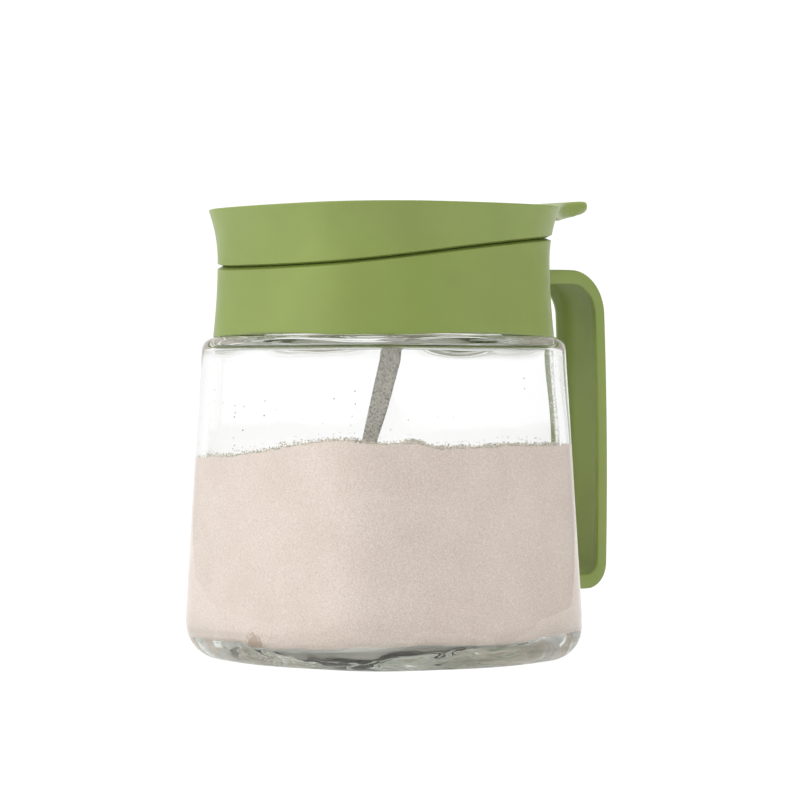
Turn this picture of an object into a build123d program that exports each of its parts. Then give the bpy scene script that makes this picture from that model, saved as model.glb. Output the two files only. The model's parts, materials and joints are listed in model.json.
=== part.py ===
from build123d import *
import os
from math import atan2, cos, radians, sin, sqrt

# Spice jar. Lengths are in millimetres and angles in degrees. +Z is up, the table is z = 0,
# the jar's axis is the Z axis, and the handle stands on the +X side.

# Plan of every storey: a rounded square whose four sides bulge outwards.
side_bulge_radius = 104.0

# Glass body.
body_height = 75.0
foot_half_width = 41.2
shoulder_half_width = 37.2
foot_corner = 20.0
shoulder_corner = 19.5
foot_round = 8.0
shoulder_round = 2.8
glass_wall = 3.0
glass_floor = 4.2
inner_floor_round = 5.0
inner_shoulder_round = 2.2

# Glass neck with its four-start thread.
neck_radius = 27.5
neck_wall = 2.5
neck_height = 12.0
neck_lip_round = 0.7
thread_starts = 4
thread_lead = 16.0
ridge_height = 1.4
ridge_root = 2.0
ridge_tip = 1.0
ridge_turn = 80.0
ridge_start_height = 4.2
thread_steps = 8
thread_root_sink = 0.6
thread_end_share = 0.2

# Collar that screws on to the neck. Its waist stands a little above the seam's low end.
shell_wall = 2.2
shell_corner = 22.5
shell_skirt_gap = 1.7
shoulder_gap = 0.3
collar_flare = 0.87
waist_rise = 2.37
neck_seal_thickness = 1.2
deck_thickness = 1.8
mouth_step = 1.6
skirt_wall = 1.6
skirt_clearance = 0.4
skirt_foot_gap = 2.0
lug_clearance = 0.5
lug_root = 1.8
lug_tip = 0.9
lug_turn = 30.0
lug_steps = 3
thread_play = 0.25

# Seam between collar and lid, as seen from the side: it climbs towards the handle, from
# just above the deck to a drop below the lid's rim.
seam_front_rise = 0.63
seam_rear_drop = 6.33
seam_bow = 0.72
seam_gap = 0.3
groove_depth = 1.4
groove_rise = 0.35

# Lid, measured up from the collar's deck.
lid_rise = 15.0
rim_flare = 1.85
rim_rise = 0.75
rim_round = 0.5
lid_ceiling = 2.2

# Thumb tab of the lid, over the handle.
tab_length = 24.15
tab_tip_rise = 3.55
tab_tip_thickness = 2.3
tab_half_width = 9.0
tab_corner = 5.0
tab_root_rise = 1.35
tab_bend = 10.0
tab_bend_drop = 0.7
tab_bend_thickness = 3.7
tab_knuckle_gap = 0.7
tab_root_sink = 1.1

# Inner plug of the lid and its gasket.
liner_edge = 0.4
liner_wall = 1.6
liner_floor = 3.2
liner_socket_wall = 1.4
liner_socket_height = 7.0
liner_fit = 0.1
liner_lift = 0.6
lid_seal_mouth_gap = 0.8
lid_seal_width = 2.4
lid_seal_thickness = 1.4

# Hinge behind the jar, above the handle and the seam's rear end.
hinge_setback = 3.4
hinge_rise = 0.33
knuckle_radius = 2.5
knuckle_half_width = 5.0
ear_width = 3.3
ear_gap = 0.3
ear_root_sink = 0.7
pin_radius = 1.0
pin_running_fit = 0.05
pin_press_fit = 0.01
gusset_drop = 6.0
gusset_angle = -37.0

# Handle: a channel that opens towards the jar. Its back is a long arc, widest at its own height.
handle_stand_off = 30.53
handle_top_drop = 6.5
handle_foot = 14.5
handle_back_radius = 840.0
handle_back_height = 42.0
handle_width = 14.2
handle_depth = 2.9
handle_web = 1.4
handle_flange = 0.9
handle_edge_bevel = 0.7
handle_top_bend = 11.0
handle_foot_bend = 6.3
handle_foot_length = 12.7
handle_root_height = 14.0
handle_root_thickness = 1.8
handle_pad_proud = 0.8
handle_pad_margin = 0.3
peg_radius = 1.6
peg_length = 2.8
peg_fit = 0.05
peg_top_inset = 4.9
peg_foot_inset = 2.8

# Powder, domed by pouring.
powder_height = 50.8
powder_dome_radius = 300.0
powder_wall_gap = 0.15

# Spoon that stands in the powder, leaning in the plane of its own broad face.
spoon_top_gap = 6.16
spoon_lean = 16.4
spoon_facing = -41.7
spoon_foot_offset = -17.4
spoon_floor_gap = 0.8
spoon_thickness = 1.6
spoon_grip_width = 5.0
spoon_tip_width = 3.0
spoon_neck_width = 2.9
spoon_flare_foot_drop = 35.0
spoon_flare_top_drop = 19.0
spoon_groove_width = 1.6
spoon_groove_depth = 0.5
spoon_bowl_radius = 8.0
spoon_bowl_depth = 4.5
spoon_bowl_wall = 1.1
spoon_powder_gap = 0.3

# How far a face or an edge may stand off a height and still count as lying at it.
level_tolerance = 0.01

# Heights that follow from the sizes above.
neck_top = body_height + neck_height
deck_low = neck_top + neck_seal_thickness
deck_top = deck_low + deck_thickness
collar_foot = body_height + shoulder_gap
rim_height = deck_top + lid_rise
seam_front_height = deck_top + seam_front_rise
seam_rear_height = rim_height - seam_rear_drop
waist_height = seam_front_height + waist_rise
ceiling_height = rim_height - rim_rise / 2 - lid_ceiling
liner_foot = deck_top + liner_lift
hinge_height = seam_rear_height + hinge_rise
tab_tip_height = rim_height + tab_tip_rise
tab_belly_height = hinge_height + knuckle_radius + tab_knuckle_gap
handle_top = seam_rear_height - handle_top_drop

# Radii and reaches that follow from the sizes above.
bore_radius = neck_radius - neck_wall
mouth_radius = bore_radius - mouth_step
lug_radius = neck_radius + lug_clearance
skirt_radius = neck_radius + ridge_height + skirt_clearance
waist_half_width = skirt_radius + skirt_wall + shell_skirt_gap + shell_wall
rim_half_width = waist_half_width + rim_flare
lid_seal_inner = mouth_radius + lid_seal_mouth_gap
lid_seal_outer = lid_seal_inner + lid_seal_width
liner_radius = lid_seal_outer + liner_edge
hinge_x = waist_half_width + hinge_setback
pad_x = waist_half_width + collar_flare + handle_pad_proud
handle_reach = pad_x + handle_stand_off
tab_reach = rim_half_width + tab_length

# The spoon's lowest point, and the length that keeps its top under the lid liner.
spoon_sag = spoon_bowl_radius * (1 - cos(radians(spoon_lean)))
spoon_foot_height = glass_floor + spoon_floor_gap + spoon_sag
spoon_length = (liner_foot - spoon_top_gap - spoon_foot_height) / cos(radians(spoon_lean))


def plan(half_width, corner, height):
    """Bulged rounded square as a level face."""
    centre = half_width - side_bulge_radius
    corner_centre = (centre + sqrt(2 * (side_bulge_radius - corner) ** 2 - centre ** 2)) / 2
    tangent = atan2(corner_centre, corner_centre - centre)
    across = centre + side_bulge_radius * cos(tangent)
    along = side_bulge_radius * sin(tangent)
    corner_tip = corner_centre + corner * sqrt(0.5)
    side = ThreePointArc((across, -along), (half_width, 0), (across, along))
    bend = ThreePointArc((across, along), (corner_tip, corner_tip), (along, across))
    edges = [edge.rotate(Axis.Z, 90 * quarter) for quarter in range(4) for edge in (side, bend)]
    return Pos(0, 0, height) * Face(Wire(edges))


def ring(outer, inner, low, high):
    """Plain ring about the jar's axis."""
    tall = high - low
    middle = (low + high) / 2
    return Pos(0, 0, middle) * (Cylinder(outer, tall) - Cylinder(inner, tall))


def disc(radius, low, high):
    """Plain disc about the jar's axis."""
    return Pos(0, 0, (low + high) / 2) * Cylinder(radius, high - low)


def block(low, high):
    """Box between two opposite corners."""
    size = [b - a for a, b in zip(low, high)]
    middle = [(a + b) / 2 for a, b in zip(low, high)]
    return Pos(*middle) * Box(*size)


def side_view(outline, half_width):
    """Solid that has the given face, drawn in X and Z, over a width about the XZ plane."""
    return extrude(Plane.XZ * outline, half_width, both=True)


def rim_edges(solid, height):
    """Edges of a level outline at a height."""
    return solid.edges().filter_by_position(Axis.Z, height - level_tolerance, height + level_tolerance)


def helical_rib(root_radius, tip_radius, root, tip, start_angle, turn, start_height, steps):
    """Thread rib of trapezoid section that climbs with the thread's lead and fades at its ends."""
    sections = []
    for step in range(steps + 1):
        angle = start_angle + turn * step / steps
        height = start_height + thread_lead * turn * step / steps / 360
        faded = root_radius + thread_end_share * (tip_radius - root_radius)
        reach = faded if step in (0, steps) else tip_radius
        corners = [(root_radius, -root / 2), (reach, -tip / 2), (reach, tip / 2), (root_radius, root / 2)]
        face = make_face(Polyline(*corners, close=True))
        sections.append(Rot(0, 0, angle) * Pos(0, 0, height) * (Plane.XZ * face))
    return loft(sections, ruled=True)


def glass_half_width(height):
    """Half width of the glass outside, on its straight taper."""
    return foot_half_width + (shoulder_half_width - foot_half_width) * height / body_height


def glass_body():
    outside = loft([plan(foot_half_width, foot_corner, 0),
                    plan(shoulder_half_width, shoulder_corner, body_height)], ruled=True)
    outside = fillet(rim_edges(outside, 0), foot_round)
    return fillet(rim_edges(outside, body_height), shoulder_round)


def glass_inside(gap=0.0):
    """Hollow of the glass body, without the neck's bore, less a gap all round."""
    low = glass_floor
    high = body_height - glass_wall
    inset = glass_wall + gap
    hollow = loft([plan(glass_half_width(low) - inset, foot_corner - inset, low),
                   plan(glass_half_width(high) - inset, shoulder_corner - inset, high)], ruled=True)
    hollow = fillet(rim_edges(hollow, low), inner_floor_round)
    return fillet(rim_edges(hollow, high), inner_shoulder_round)


def make_glass_jar():
    neck = disc(neck_radius, body_height - glass_wall, neck_top)
    neck = fillet(rim_edges(neck, neck_top), neck_lip_round)
    jar = glass_body() + neck
    for start in range(thread_starts):
        jar += helical_rib(neck_radius - thread_root_sink, neck_radius + ridge_height, ridge_root, ridge_tip,
                           360 * start / thread_starts, ridge_turn,
                           body_height + ridge_start_height, thread_steps)
    return jar - glass_inside() - disc(bore_radius, body_height - 2 * glass_wall, neck_top)


def shell_half_width(height):
    """Half width of collar and lid outside: waisted, flaring to the collar's foot and the lid's rim."""
    if height < waist_height:
        return waist_half_width + collar_flare * ((waist_height - height) / (waist_height - collar_foot)) ** 2
    return waist_half_width + rim_flare * ((height - waist_height) / (rim_height - waist_height)) ** 2


def shell_form(inset, low, high, storeys=6):
    """Solid of the waisted form between two heights, drawn in by an inset."""
    heights = [low + (high - low) * storey / storeys for storey in range(storeys + 1)]
    return loft([plan(shell_half_width(z) - inset, shell_corner - inset, z) for z in heights])


def seam_height(x):
    """Height of the seam's middle, a shallow bow that climbs towards the handle."""
    share = x / waist_half_width
    middle = (seam_front_height + seam_rear_height) / 2 + seam_bow
    return middle + share * (seam_rear_height - seam_front_height) / 2 - seam_bow * share ** 2


def below_seam(shift):
    """Everything below the seam's surface, moved up by a shift."""
    reach = 2 * rim_half_width
    ends = [(x, seam_height(x) + shift) for x in (-reach, 0, reach)]
    outline = [ThreePointArc(*ends), Polyline(ends[2], (reach, 0), (-reach, 0), ends[0])]
    return side_view(make_face(outline), reach)


def seam_edges(solid, shift):
    """Edges of a solid that lie in the seam's surface, moved up by a shift."""
    middles = [(edge, edge @ 0.5) for edge in solid.edges()]
    return [edge for edge, at in middles if abs(at.Z - seam_height(at.X) - shift) < seam_gap / 4]


def grooved(solid, shift):
    """Solid cut back along the seam, on its outside, to one half of a V groove."""
    seam_face = solid.faces().sort_by(lambda face: abs(face.center().Z - seam_height(0) - shift))[0]
    return chamfer(seam_edges(solid, shift), groove_depth, groove_rise, reference=seam_face)


def knuckle(radius, low_y, high_y):
    """Round bar on the hinge axis between two Y values."""
    bar = Rot(90, 0, 0) * Cylinder(radius, high_y - low_y)
    return Pos(hinge_x, (low_y + high_y) / 2, hinge_height) * bar


def make_collar():
    shell = grooved(shell_form(0, collar_foot, rim_height) & below_seam(-seam_gap / 2), -seam_gap / 2)
    shell -= shell_form(shell_wall, collar_foot, rim_height)
    shell += shell_form(shell_wall / 2, deck_low, deck_top, 1)
    shell += ring(skirt_radius + skirt_wall, skirt_radius, body_height + skirt_foot_gap, deck_low)
    shell -= disc(mouth_radius, deck_low, deck_top)
    drop = (ridge_root + lug_root) / 2 - thread_overlap() + thread_play
    for start in range(thread_starts):
        first = 360 * start / thread_starts + (ridge_turn - lug_turn) / 2
        height = (body_height + ridge_start_height - drop
                  + thread_lead * (ridge_turn - lug_turn) / 2 / 360)
        shell += helical_rib(skirt_radius + thread_root_sink, lug_radius, lug_root, lug_tip,
                             first, lug_turn, height, lug_steps)
    pad_half = handle_width / 2 + handle_pad_margin
    inside = waist_half_width - shell_wall / 2
    shell += block((inside, -pad_half, handle_top - handle_root_height - handle_pad_margin),
                   (pad_x, pad_half, handle_top + handle_pad_margin))
    foot = seam_height(inside) - gusset_drop
    leaves = radians(gusset_angle)
    gusset = Polyline((inside, foot), (inside, seam_height(inside) - seam_gap), (hinge_x, hinge_height),
                      (hinge_x + knuckle_radius * cos(leaves), hinge_height + knuckle_radius * sin(leaves)),
                      (pad_x, foot), close=True)
    shell += side_view(make_face(gusset), knuckle_half_width)
    shell += knuckle(knuckle_radius, -knuckle_half_width, knuckle_half_width)
    shell -= knuckle(pin_radius + pin_press_fit, -knuckle_half_width, knuckle_half_width)
    for height in peg_heights():
        shell -= peg(peg_radius + peg_fit, peg_length + peg_fit, height)
    return shell


def thread_overlap():
    """How far the flanks of a ridge and a lug draw in, half a height each, where both reach."""
    ridge_flank = (ridge_root - ridge_tip) / 2 / ridge_height
    return ridge_flank * lug_clearance + (lug_root - lug_tip) / 2


def peg_heights():
    """Heights of the two pegs that key the handle to the collar."""
    return [handle_top - peg_top_inset, handle_top - handle_root_height + peg_foot_inset]


def peg(radius, length, height):
    """Peg that reaches from the collar's pad into its wall."""
    return Pos(pad_x - length / 2, 0, height) * Rot(0, 90, 0) * Cylinder(radius, length)


def tab_outline():
    """Side view of the thumb tab: it sweeps up and thins towards its tip."""
    root = rim_half_width - shell_wall - tab_root_sink
    bend_height = tab_tip_height - tab_bend_drop
    crown = [(root, rim_height - rim_rise / 2), (hinge_x + knuckle_radius, rim_height + tab_root_rise),
             (tab_reach - tab_bend, bend_height), (tab_reach, tab_tip_height)]
    tip_low = (tab_reach, tab_tip_height - tab_tip_thickness)
    belly = [tip_low, (tab_reach - tab_bend, bend_height - tab_bend_thickness),
             (hinge_x, tab_belly_height), (root, tab_belly_height)]
    return make_face([Spline(*crown), Line(crown[-1], tip_low), Spline(*belly[:3]),
                      Line(belly[2], belly[3]), Line(belly[3], crown[0])])


def make_lid_shell():
    shell = shell_form(0, collar_foot, rim_height + rim_rise) - below_seam(seam_gap / 2)
    shell = grooved(shell, seam_gap / 2)
    reach = 2 * rim_half_width
    slope = rim_rise / 2 / rim_half_width
    under_rim = Polyline((-reach, 0), (reach, 0), (reach, rim_height + slope * reach),
                         (-reach, rim_height - slope * reach), close=True)
    shell &= side_view(make_face(under_rim), reach)
    shell = fillet(shell.faces().sort_by(Axis.Z)[-1].edges(), rim_round)
    shell -= shell_form(shell_wall, collar_foot, ceiling_height)
    tab = side_view(tab_outline(), tab_half_width)
    tab_plan = Pos((tab_reach - tab_corner) / 2, 0) * Rectangle(tab_reach + tab_corner, 2 * tab_half_width)
    tab_plan = fillet(tab_plan.vertices().group_by(Axis.X)[-1], tab_corner)
    shell += tab & extrude(tab_plan, 2 * rim_height)
    shell += ring(liner_radius + liner_fit + liner_socket_wall, liner_radius + liner_fit,
                  ceiling_height - liner_socket_height, ceiling_height)
    ear_low = knuckle_half_width + ear_gap
    ear_high = ear_low + ear_width
    for low_y, high_y in ((ear_low, ear_high), (-ear_high, -ear_low)):
        shell += block((waist_half_width - shell_wall / 2, low_y, hinge_height),
                       (hinge_x + knuckle_radius, high_y, tab_belly_height + ear_root_sink))
        shell += knuckle(knuckle_radius, low_y, high_y)
        shell -= knuckle(pin_radius + pin_running_fit, low_y, high_y)
    return shell


def make_lid_liner():
    """Cup that plugs into the lid's socket, with a groove for the gasket under its floor."""
    cup = disc(liner_radius, liner_foot, ceiling_height)
    cup -= disc(liner_radius - liner_wall, liner_foot + liner_floor, ceiling_height)
    return cup - ring(lid_seal_outer + liner_fit, lid_seal_inner - liner_fit,
                      liner_foot, deck_top + lid_seal_thickness)


def handle_back(height, drop=0.0):
    """Reach of the back's long arc at a height, or of its tangent a drop below that height."""
    over = height - handle_back_height
    return handle_reach - over ** 2 / 2 / handle_back_radius + over * drop / handle_back_radius


def handle_path():
    """Line along the middle of the handle's outer face, from the collar's pad to the loose end."""
    high = handle_top - handle_top_bend
    low = handle_foot + handle_foot_bend
    corners = [(pad_x, handle_top), (handle_back(high, high - handle_top), handle_top),
               (handle_back(high, (high - low) / 2), (high + low) / 2),
               (handle_back(low, low - handle_foot), handle_foot),
               (handle_reach - handle_foot_length, handle_foot)]
    back_radius = handle_back_radius - handle_top_bend - handle_foot_bend
    return FilletPolyline(*[(x, 0, z) for x, z in corners],
                          radius=[handle_top_bend, back_radius, handle_foot_bend])


def make_handle():
    half = handle_width / 2
    opening = half - handle_flange
    section = make_face([
        Polyline((opening, -handle_depth), (half, -handle_depth), (half, -handle_edge_bevel),
                 (half - handle_edge_bevel, 0), (handle_edge_bevel - half, 0), (-half, -handle_edge_bevel),
                 (-half, -handle_depth), (-opening, -handle_depth)),
        ThreePointArc((-opening, -handle_depth), (0, -handle_web), (opening, -handle_depth))])
    at_root = Plane(origin=(pad_x, 0, handle_top), x_dir=(0, 1, 0), z_dir=(1, 0, 0))
    channel = sweep(at_root * section, path=handle_path())
    channel += block((pad_x, -half, handle_top - handle_root_height),
                     (pad_x + handle_root_thickness, half, handle_top))
    for height in peg_heights():
        channel += peg(peg_radius, peg_length, height)
    return channel


def make_hinge_pin():
    length = knuckle_half_width + ear_gap + ear_width
    return knuckle(pin_radius, -length, length)


def make_neck_seal():
    return ring(neck_radius, bore_radius, neck_top, deck_low)


def make_lid_seal():
    return ring(lid_seal_outer, lid_seal_inner, deck_top, deck_top + lid_seal_thickness)


def spoon_place():
    """Plane at the spoon's lowest point: x across its face, z up along its leaning length."""
    right = Vector(cos(radians(spoon_facing)), sin(radians(spoon_facing)), 0)
    lean = radians(spoon_lean)
    up = right * sin(lean) + Vector(0, 0, 1) * cos(lean)
    across = right * cos(lean) - Vector(0, 0, 1) * sin(lean)
    foot = right * spoon_foot_offset + Vector(0, 0, spoon_foot_height)
    return Plane(origin=foot, x_dir=across, z_dir=up)


def spoon_form(grow=0.0):
    """Spoon along its own z axis, its face towards -y, grown all round for the space that it takes."""
    top = spoon_length + grow
    neck = 2 * spoon_bowl_radius - spoon_bowl_wall
    grip = spoon_grip_width / 2 + grow
    waist = spoon_neck_width / 2 + grow
    tip = spoon_tip_width / 2 + grow
    thick = spoon_thickness + 2 * grow
    flare_foot = spoon_length - spoon_flare_foot_drop
    flare_top = spoon_length - spoon_flare_top_drop
    outline = Polyline((-waist, neck), (waist, neck), (waist, flare_foot), (grip, flare_top),
                       (grip, top - grip), (tip, top), (-tip, top), (-grip, top - grip),
                       (-grip, flare_top), (-waist, flare_foot), close=True)
    stem = side_view(make_face(outline), thick / 2)
    ball = (spoon_bowl_radius ** 2 + spoon_bowl_depth ** 2) / (2 * spoon_bowl_depth)
    brim = -spoon_thickness / 2
    centre = Pos(0, brim + spoon_bowl_depth - ball, spoon_bowl_radius)
    behind_brim = block((-2 * ball, brim - grow, -ball), (2 * ball, 2 * ball, 3 * ball))
    dish = centre * Sphere(ball + grow) - centre * Sphere(ball - spoon_bowl_wall - grow)
    return stem + (dish & behind_brim)


def make_spoon():
    brim = -spoon_thickness / 2
    half = spoon_groove_width / 2
    groove = block((-half, brim, 2 * spoon_bowl_radius + spoon_groove_width),
                   (half, brim + spoon_groove_depth, spoon_length - spoon_grip_width))
    return spoon_place() * (spoon_form() - groove)


def make_powder():
    surface = Pos(0, 0, powder_height - powder_dome_radius) * Sphere(powder_dome_radius)
    return (glass_inside(powder_wall_gap) & surface) - spoon_place() * spoon_form(spoon_powder_gap)


makers = {
    "glass_jar": make_glass_jar,
    "seasoning_fill": make_powder,
    "spoon": make_spoon,
    "neck_seal": make_neck_seal,
    "collar": make_collar,
    "handle": make_handle,
    "hinge_pin": make_hinge_pin,
    "lid_shell": make_lid_shell,
    "lid_liner": make_lid_liner,
    "lid_seal": make_lid_seal,
}

os.makedirs("parts", exist_ok=True)
for node, make in makers.items():
    export_step(make(), f"parts/{node}.step")
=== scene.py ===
import json
import math

import bpy
import bmesh
import numpy as np
from mathutils import Matrix, Vector, noise


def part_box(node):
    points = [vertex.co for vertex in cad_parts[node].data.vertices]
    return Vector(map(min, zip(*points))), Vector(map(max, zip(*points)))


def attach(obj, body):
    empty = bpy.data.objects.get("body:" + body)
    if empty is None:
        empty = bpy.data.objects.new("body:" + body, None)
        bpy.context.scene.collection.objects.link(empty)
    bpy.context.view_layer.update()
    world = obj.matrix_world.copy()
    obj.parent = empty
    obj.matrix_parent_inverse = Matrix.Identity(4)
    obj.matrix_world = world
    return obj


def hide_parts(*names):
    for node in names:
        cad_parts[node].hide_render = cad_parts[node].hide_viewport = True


bl_info = {
    "name": "Spice jar looks",
    "version": (1, 0, 0),
    "blender": (4, 5, 0),
    "location": "3D View > Sidebar > Spice jar",
    "description": "Glass, green plastic, powder and spoon, built round the packed jar",
    "category": "Object",
}

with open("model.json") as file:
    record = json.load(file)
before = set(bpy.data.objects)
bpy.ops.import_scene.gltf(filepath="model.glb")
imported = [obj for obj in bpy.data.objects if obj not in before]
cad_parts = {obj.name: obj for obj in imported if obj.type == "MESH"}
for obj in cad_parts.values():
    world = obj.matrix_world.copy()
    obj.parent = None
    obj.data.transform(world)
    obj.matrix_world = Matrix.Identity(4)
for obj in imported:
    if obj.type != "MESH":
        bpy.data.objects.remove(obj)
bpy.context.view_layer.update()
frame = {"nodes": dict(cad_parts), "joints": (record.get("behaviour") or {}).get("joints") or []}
MM = 0.001


def box_mm(node):
    """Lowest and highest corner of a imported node, in millimetres."""
    low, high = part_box(node)
    return low / MM, high / MM


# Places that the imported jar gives, in millimetres. Everything below is in millimetres too,
# until a mesh is made of it.
glass_high = box_mm("glass_jar")[1]
collar_low = box_mm("collar")[0]
lid_high = box_mm("lid_shell")[1]
handle_low, handle_high = box_mm("handle")
powder_low = box_mm("seasoning_fill")[0]
washer_high = box_mm("neck_seal")[1]
gasket_low = box_mm("lid_seal")[0]
hinge = next(joint for joint in frame["joints"] if joint["name"] == "lid_hinge")
lift = next(joint for joint in frame["joints"] if joint["name"] == "spoon_lift")
hinge_x = hinge["pos_m"][0] / MM
hinge_z = hinge["pos_m"][2] / MM

# Plan of every storey: a rounded square whose sides bulge.
side_bulge = 104.0
round_count = 256
angles = np.arange(round_count) * 2 * math.pi / round_count
cornering = np.sin(2 * angles) ** 2

# Glass. Under the contact height the powder lies a hair clear of the glass. That height rises from
# contact_end at the flat sides to the corners, and most to the two corners at the sides of the view.
body_height = 75.0
foot_half_width = 41.2
shoulder_half_width = 37.2
foot_corner = 20.0
shoulder_corner = 19.5
foot_round = 7.0
foot_corner_round = 2.6
foot_uneven = 2.5
shoulder_round = 2.8
glass_wall = 3.0
shoulder_wall = 2.5
inner_floor_round = 4.6
inner_corner_round = 3.9
contact_end = 1.1
contact_corner_rise = 0.8
contact_side_rise = 0.9
inner_shoulder_round = 1.1
neck_radius = 27.5
bore_radius = 25.0
lip_round = 0.9
neck_root_round = 1.2
push_up = 1.3

# Heights over which the painted shade on the glass fades out above the foot and in below the collar. The
# shade is grey-green streaks that follow the pressed glass's own.
foot_shade_fade = (4.0, 8.5)
shoulder_shade_fade = (70.0, 73.5)

# Brown lump in the powder, against the glass low on the left face.
lump_place = (-37.0, 0.3, 4.5)
lump_radius = 7.0
lump_edge = 0.8
lump_raggedness = 7.0

# Collar and lid.
shell_wall = 2.2
shell_corner = 22.5
waist_height = 93.0
waist_half_width = 34.8
foot_flare = 0.87
foot_wave = 0.33
foot_dip = 0.08
rim_height = 105.0
rim_half_width = 36.65
rim_rise = 0.75
seam_front_height = 90.63
seam_rear_height = 98.67
seam_bow = 0.72
seam_gap = 0.12
groove_depth = 1.3
groove_rise = 0.5
seam_soft = 0.15
mouth_radius = 23.4
mouth_edge = 0.5
skirt_radius = 29.3
skirt_wall = 1.6
skirt_foot = body_height + 2.0
broken_edge = 0.3
lid_ceiling = 2.2
rim_edge = 0.45
socket_radius = 27.1
socket_wall = 1.4
socket_depth = 7.0

# Camera: level, at the photograph's distance and height, looking along the jar's corner.
camera_azimuth = -41.7
camera_distance = 825.5
camera_height = 60.36
camera_aside = 3.86
focal_pixels = 3538.0
frame_pixels = 800.0
sensor_width = 36.0


class JarSizes(bpy.types.PropertyGroup):
    """Sizes that a user would change."""

    glass_floor: bpy.props.FloatProperty(
        name="Glass floor", description="Thickness of the glass under the powder",
        default=powder_low.z * MM, min=0.002, max=0.012, subtype="DISTANCE", unit="LENGTH")
    powder_level: bpy.props.FloatProperty(
        name="Powder level", description="Mean height of the powder's surface over the table",
        default=0.0488, min=0.01, max=0.065, subtype="DISTANCE", unit="LENGTH")
    grain_size: bpy.props.FloatProperty(
        name="Grain size", description="Mean size of the loose grains on the powder",
        default=0.00042, min=0.0001, max=0.002, subtype="DISTANCE", unit="LENGTH")
    edge_round: bpy.props.FloatProperty(
        name="Edge rounding", description="Radius of the moulded plastic's edges",
        default=0.00035, min=0.0001, max=0.001, subtype="DISTANCE", unit="LENGTH")


class JarColours(bpy.types.PropertyGroup):
    """Colours that a user would change."""

    plastic: bpy.props.FloatVectorProperty(
        name="Green plastic", description="Colour of collar, lid and handle",
        default=(0.222, 0.288, 0.066), subtype="COLOR", min=0, max=1)
    glass_depth: bpy.props.FloatVectorProperty(
        name="Glass in depth", description="Colour that thick glass takes on",
        default=(0.74, 0.80, 0.74), subtype="COLOR", min=0, max=1)
    powder: bpy.props.FloatVectorProperty(
        name="Powder", description="Mean colour of the seasoning",
        default=(0.70, 0.600, 0.545), subtype="COLOR", min=0, max=1)


def plan_radius(theta, half_width, corner):
    """Reach of the bulged rounded square at each polar angle."""
    folded = np.abs((theta + math.pi / 4) % (math.pi / 2) - math.pi / 4)
    centre = half_width - side_bulge
    corner_centre = (centre + np.sqrt(2 * (side_bulge - corner) ** 2 - centre ** 2)) / 2
    tangent = np.arctan2(corner_centre, corner_centre - centre)
    switch = np.arctan2(side_bulge * np.sin(tangent), centre + side_bulge * np.cos(tangent))
    side = centre * np.cos(folded) + np.sqrt(side_bulge ** 2 - (centre * np.sin(folded)) ** 2)
    along = corner_centre * (np.cos(folded) + np.sin(folded))
    bend = along + np.sqrt(np.maximum(along ** 2 - 2 * corner_centre ** 2 + corner ** 2, 0))
    return np.where(folded < switch, side, bend)


def ring_at(radius, height):
    """Ring of points at a radius, which may differ round the ring, and a height."""
    radius = np.broadcast_to(radius, angles.shape)
    height = np.broadcast_to(height, angles.shape)
    return np.stack([radius * np.cos(angles), radius * np.sin(angles), height], axis=1)


def square_ring(half_width, corner, height, scale=1.0):
    """Ring on the bulged rounded square."""
    return ring_at(scale * plan_radius(angles, half_width, corner), height)


def mesh_object(name, points, faces, smooth_angle=40.0):
    """Object at the origin from points in millimetres, smooth where its faces meet gently."""
    mesh = bpy.data.meshes.new(name)
    mesh.from_pydata([tuple(p * MM) for p in np.asarray(points, float)], [], faces)
    mesh.validate()
    mesh.set_sharp_from_angle(angle=math.radians(smooth_angle))
    mesh.shade_smooth()
    obj = bpy.data.objects.new(name, mesh)
    bpy.context.scene.collection.objects.link(obj)
    return obj


def skin_parts(rings, start_pole=None, end_pole=None, closed=False):
    """Points and faces of a surface through rings of equal count, capped by poles."""
    count = len(rings[0])
    points = [p for ring in rings for p in ring]
    faces = []
    storeys = len(rings) if closed else len(rings) - 1
    for j in range(storeys):
        low = j * count
        high = (j + 1) % len(rings) * count
        faces += [(low + i, low + (i + 1) % count, high + (i + 1) % count, high + i) for i in range(count)]
    if start_pole is not None:
        points.append(np.array(start_pole, float))
        pole = len(points) - 1
        faces += [(pole, (i + 1) % count, i) for i in range(count)]
    if end_pole is not None:
        points.append(np.array(end_pole, float))
        pole = len(points) - 1
        last = (len(rings) - 1) * count
        faces += [(pole, last + i, last + (i + 1) % count) for i in range(count)]
    return points, faces


def skin(name, rings, smooth_angle=40.0, **caps):
    """Object whose surface runs through rings."""
    return mesh_object(name, *skin_parts(rings, **caps), smooth_angle=smooth_angle)


def join_parts(parts):
    """One list of points and faces from several."""
    points, faces = [], []
    for more_points, more_faces in parts:
        start = len(points)
        points += list(more_points)
        faces += [tuple(start + index for index in face) for face in more_faces]
    return points, faces


def quarter_turn(first, last, steps):
    """Angles in radians from first to last degree."""
    return [math.radians(first + (last - first) * step / steps) for step in range(steps + 1)]


def ripple(x, y, z, size, seed):
    """Smooth noise between about -1 and 1 for a place, size being the width of one wave."""
    return noise.noise(Vector((x / size + seed, y / size - seed, z / size)))


def rippled(ring, amount, size, seed):
    """Ring moved in and out by smooth noise."""
    moved = ring.copy()
    for point in moved:
        reach = math.hypot(point[0], point[1])
        if reach > 0.5:
            shift = amount * ripple(*point, size, seed)
            point[0] *= 1 + shift / reach
            point[1] *= 1 + shift / reach
    return moved


def principled(name, colour, roughness, **sockets):
    """Material with one Principled shader, and the shader and tree to build on."""
    material = bpy.data.materials.new(name)
    material.use_nodes = True
    tree = material.node_tree
    shader = tree.nodes["Principled BSDF"]
    shader.inputs["Base Color"].default_value = (*colour, 1)
    shader.inputs["Roughness"].default_value = roughness
    for socket, value in sockets.items():
        shader.inputs[socket.replace("_", " ")].default_value = value
    return material, tree, shader


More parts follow.
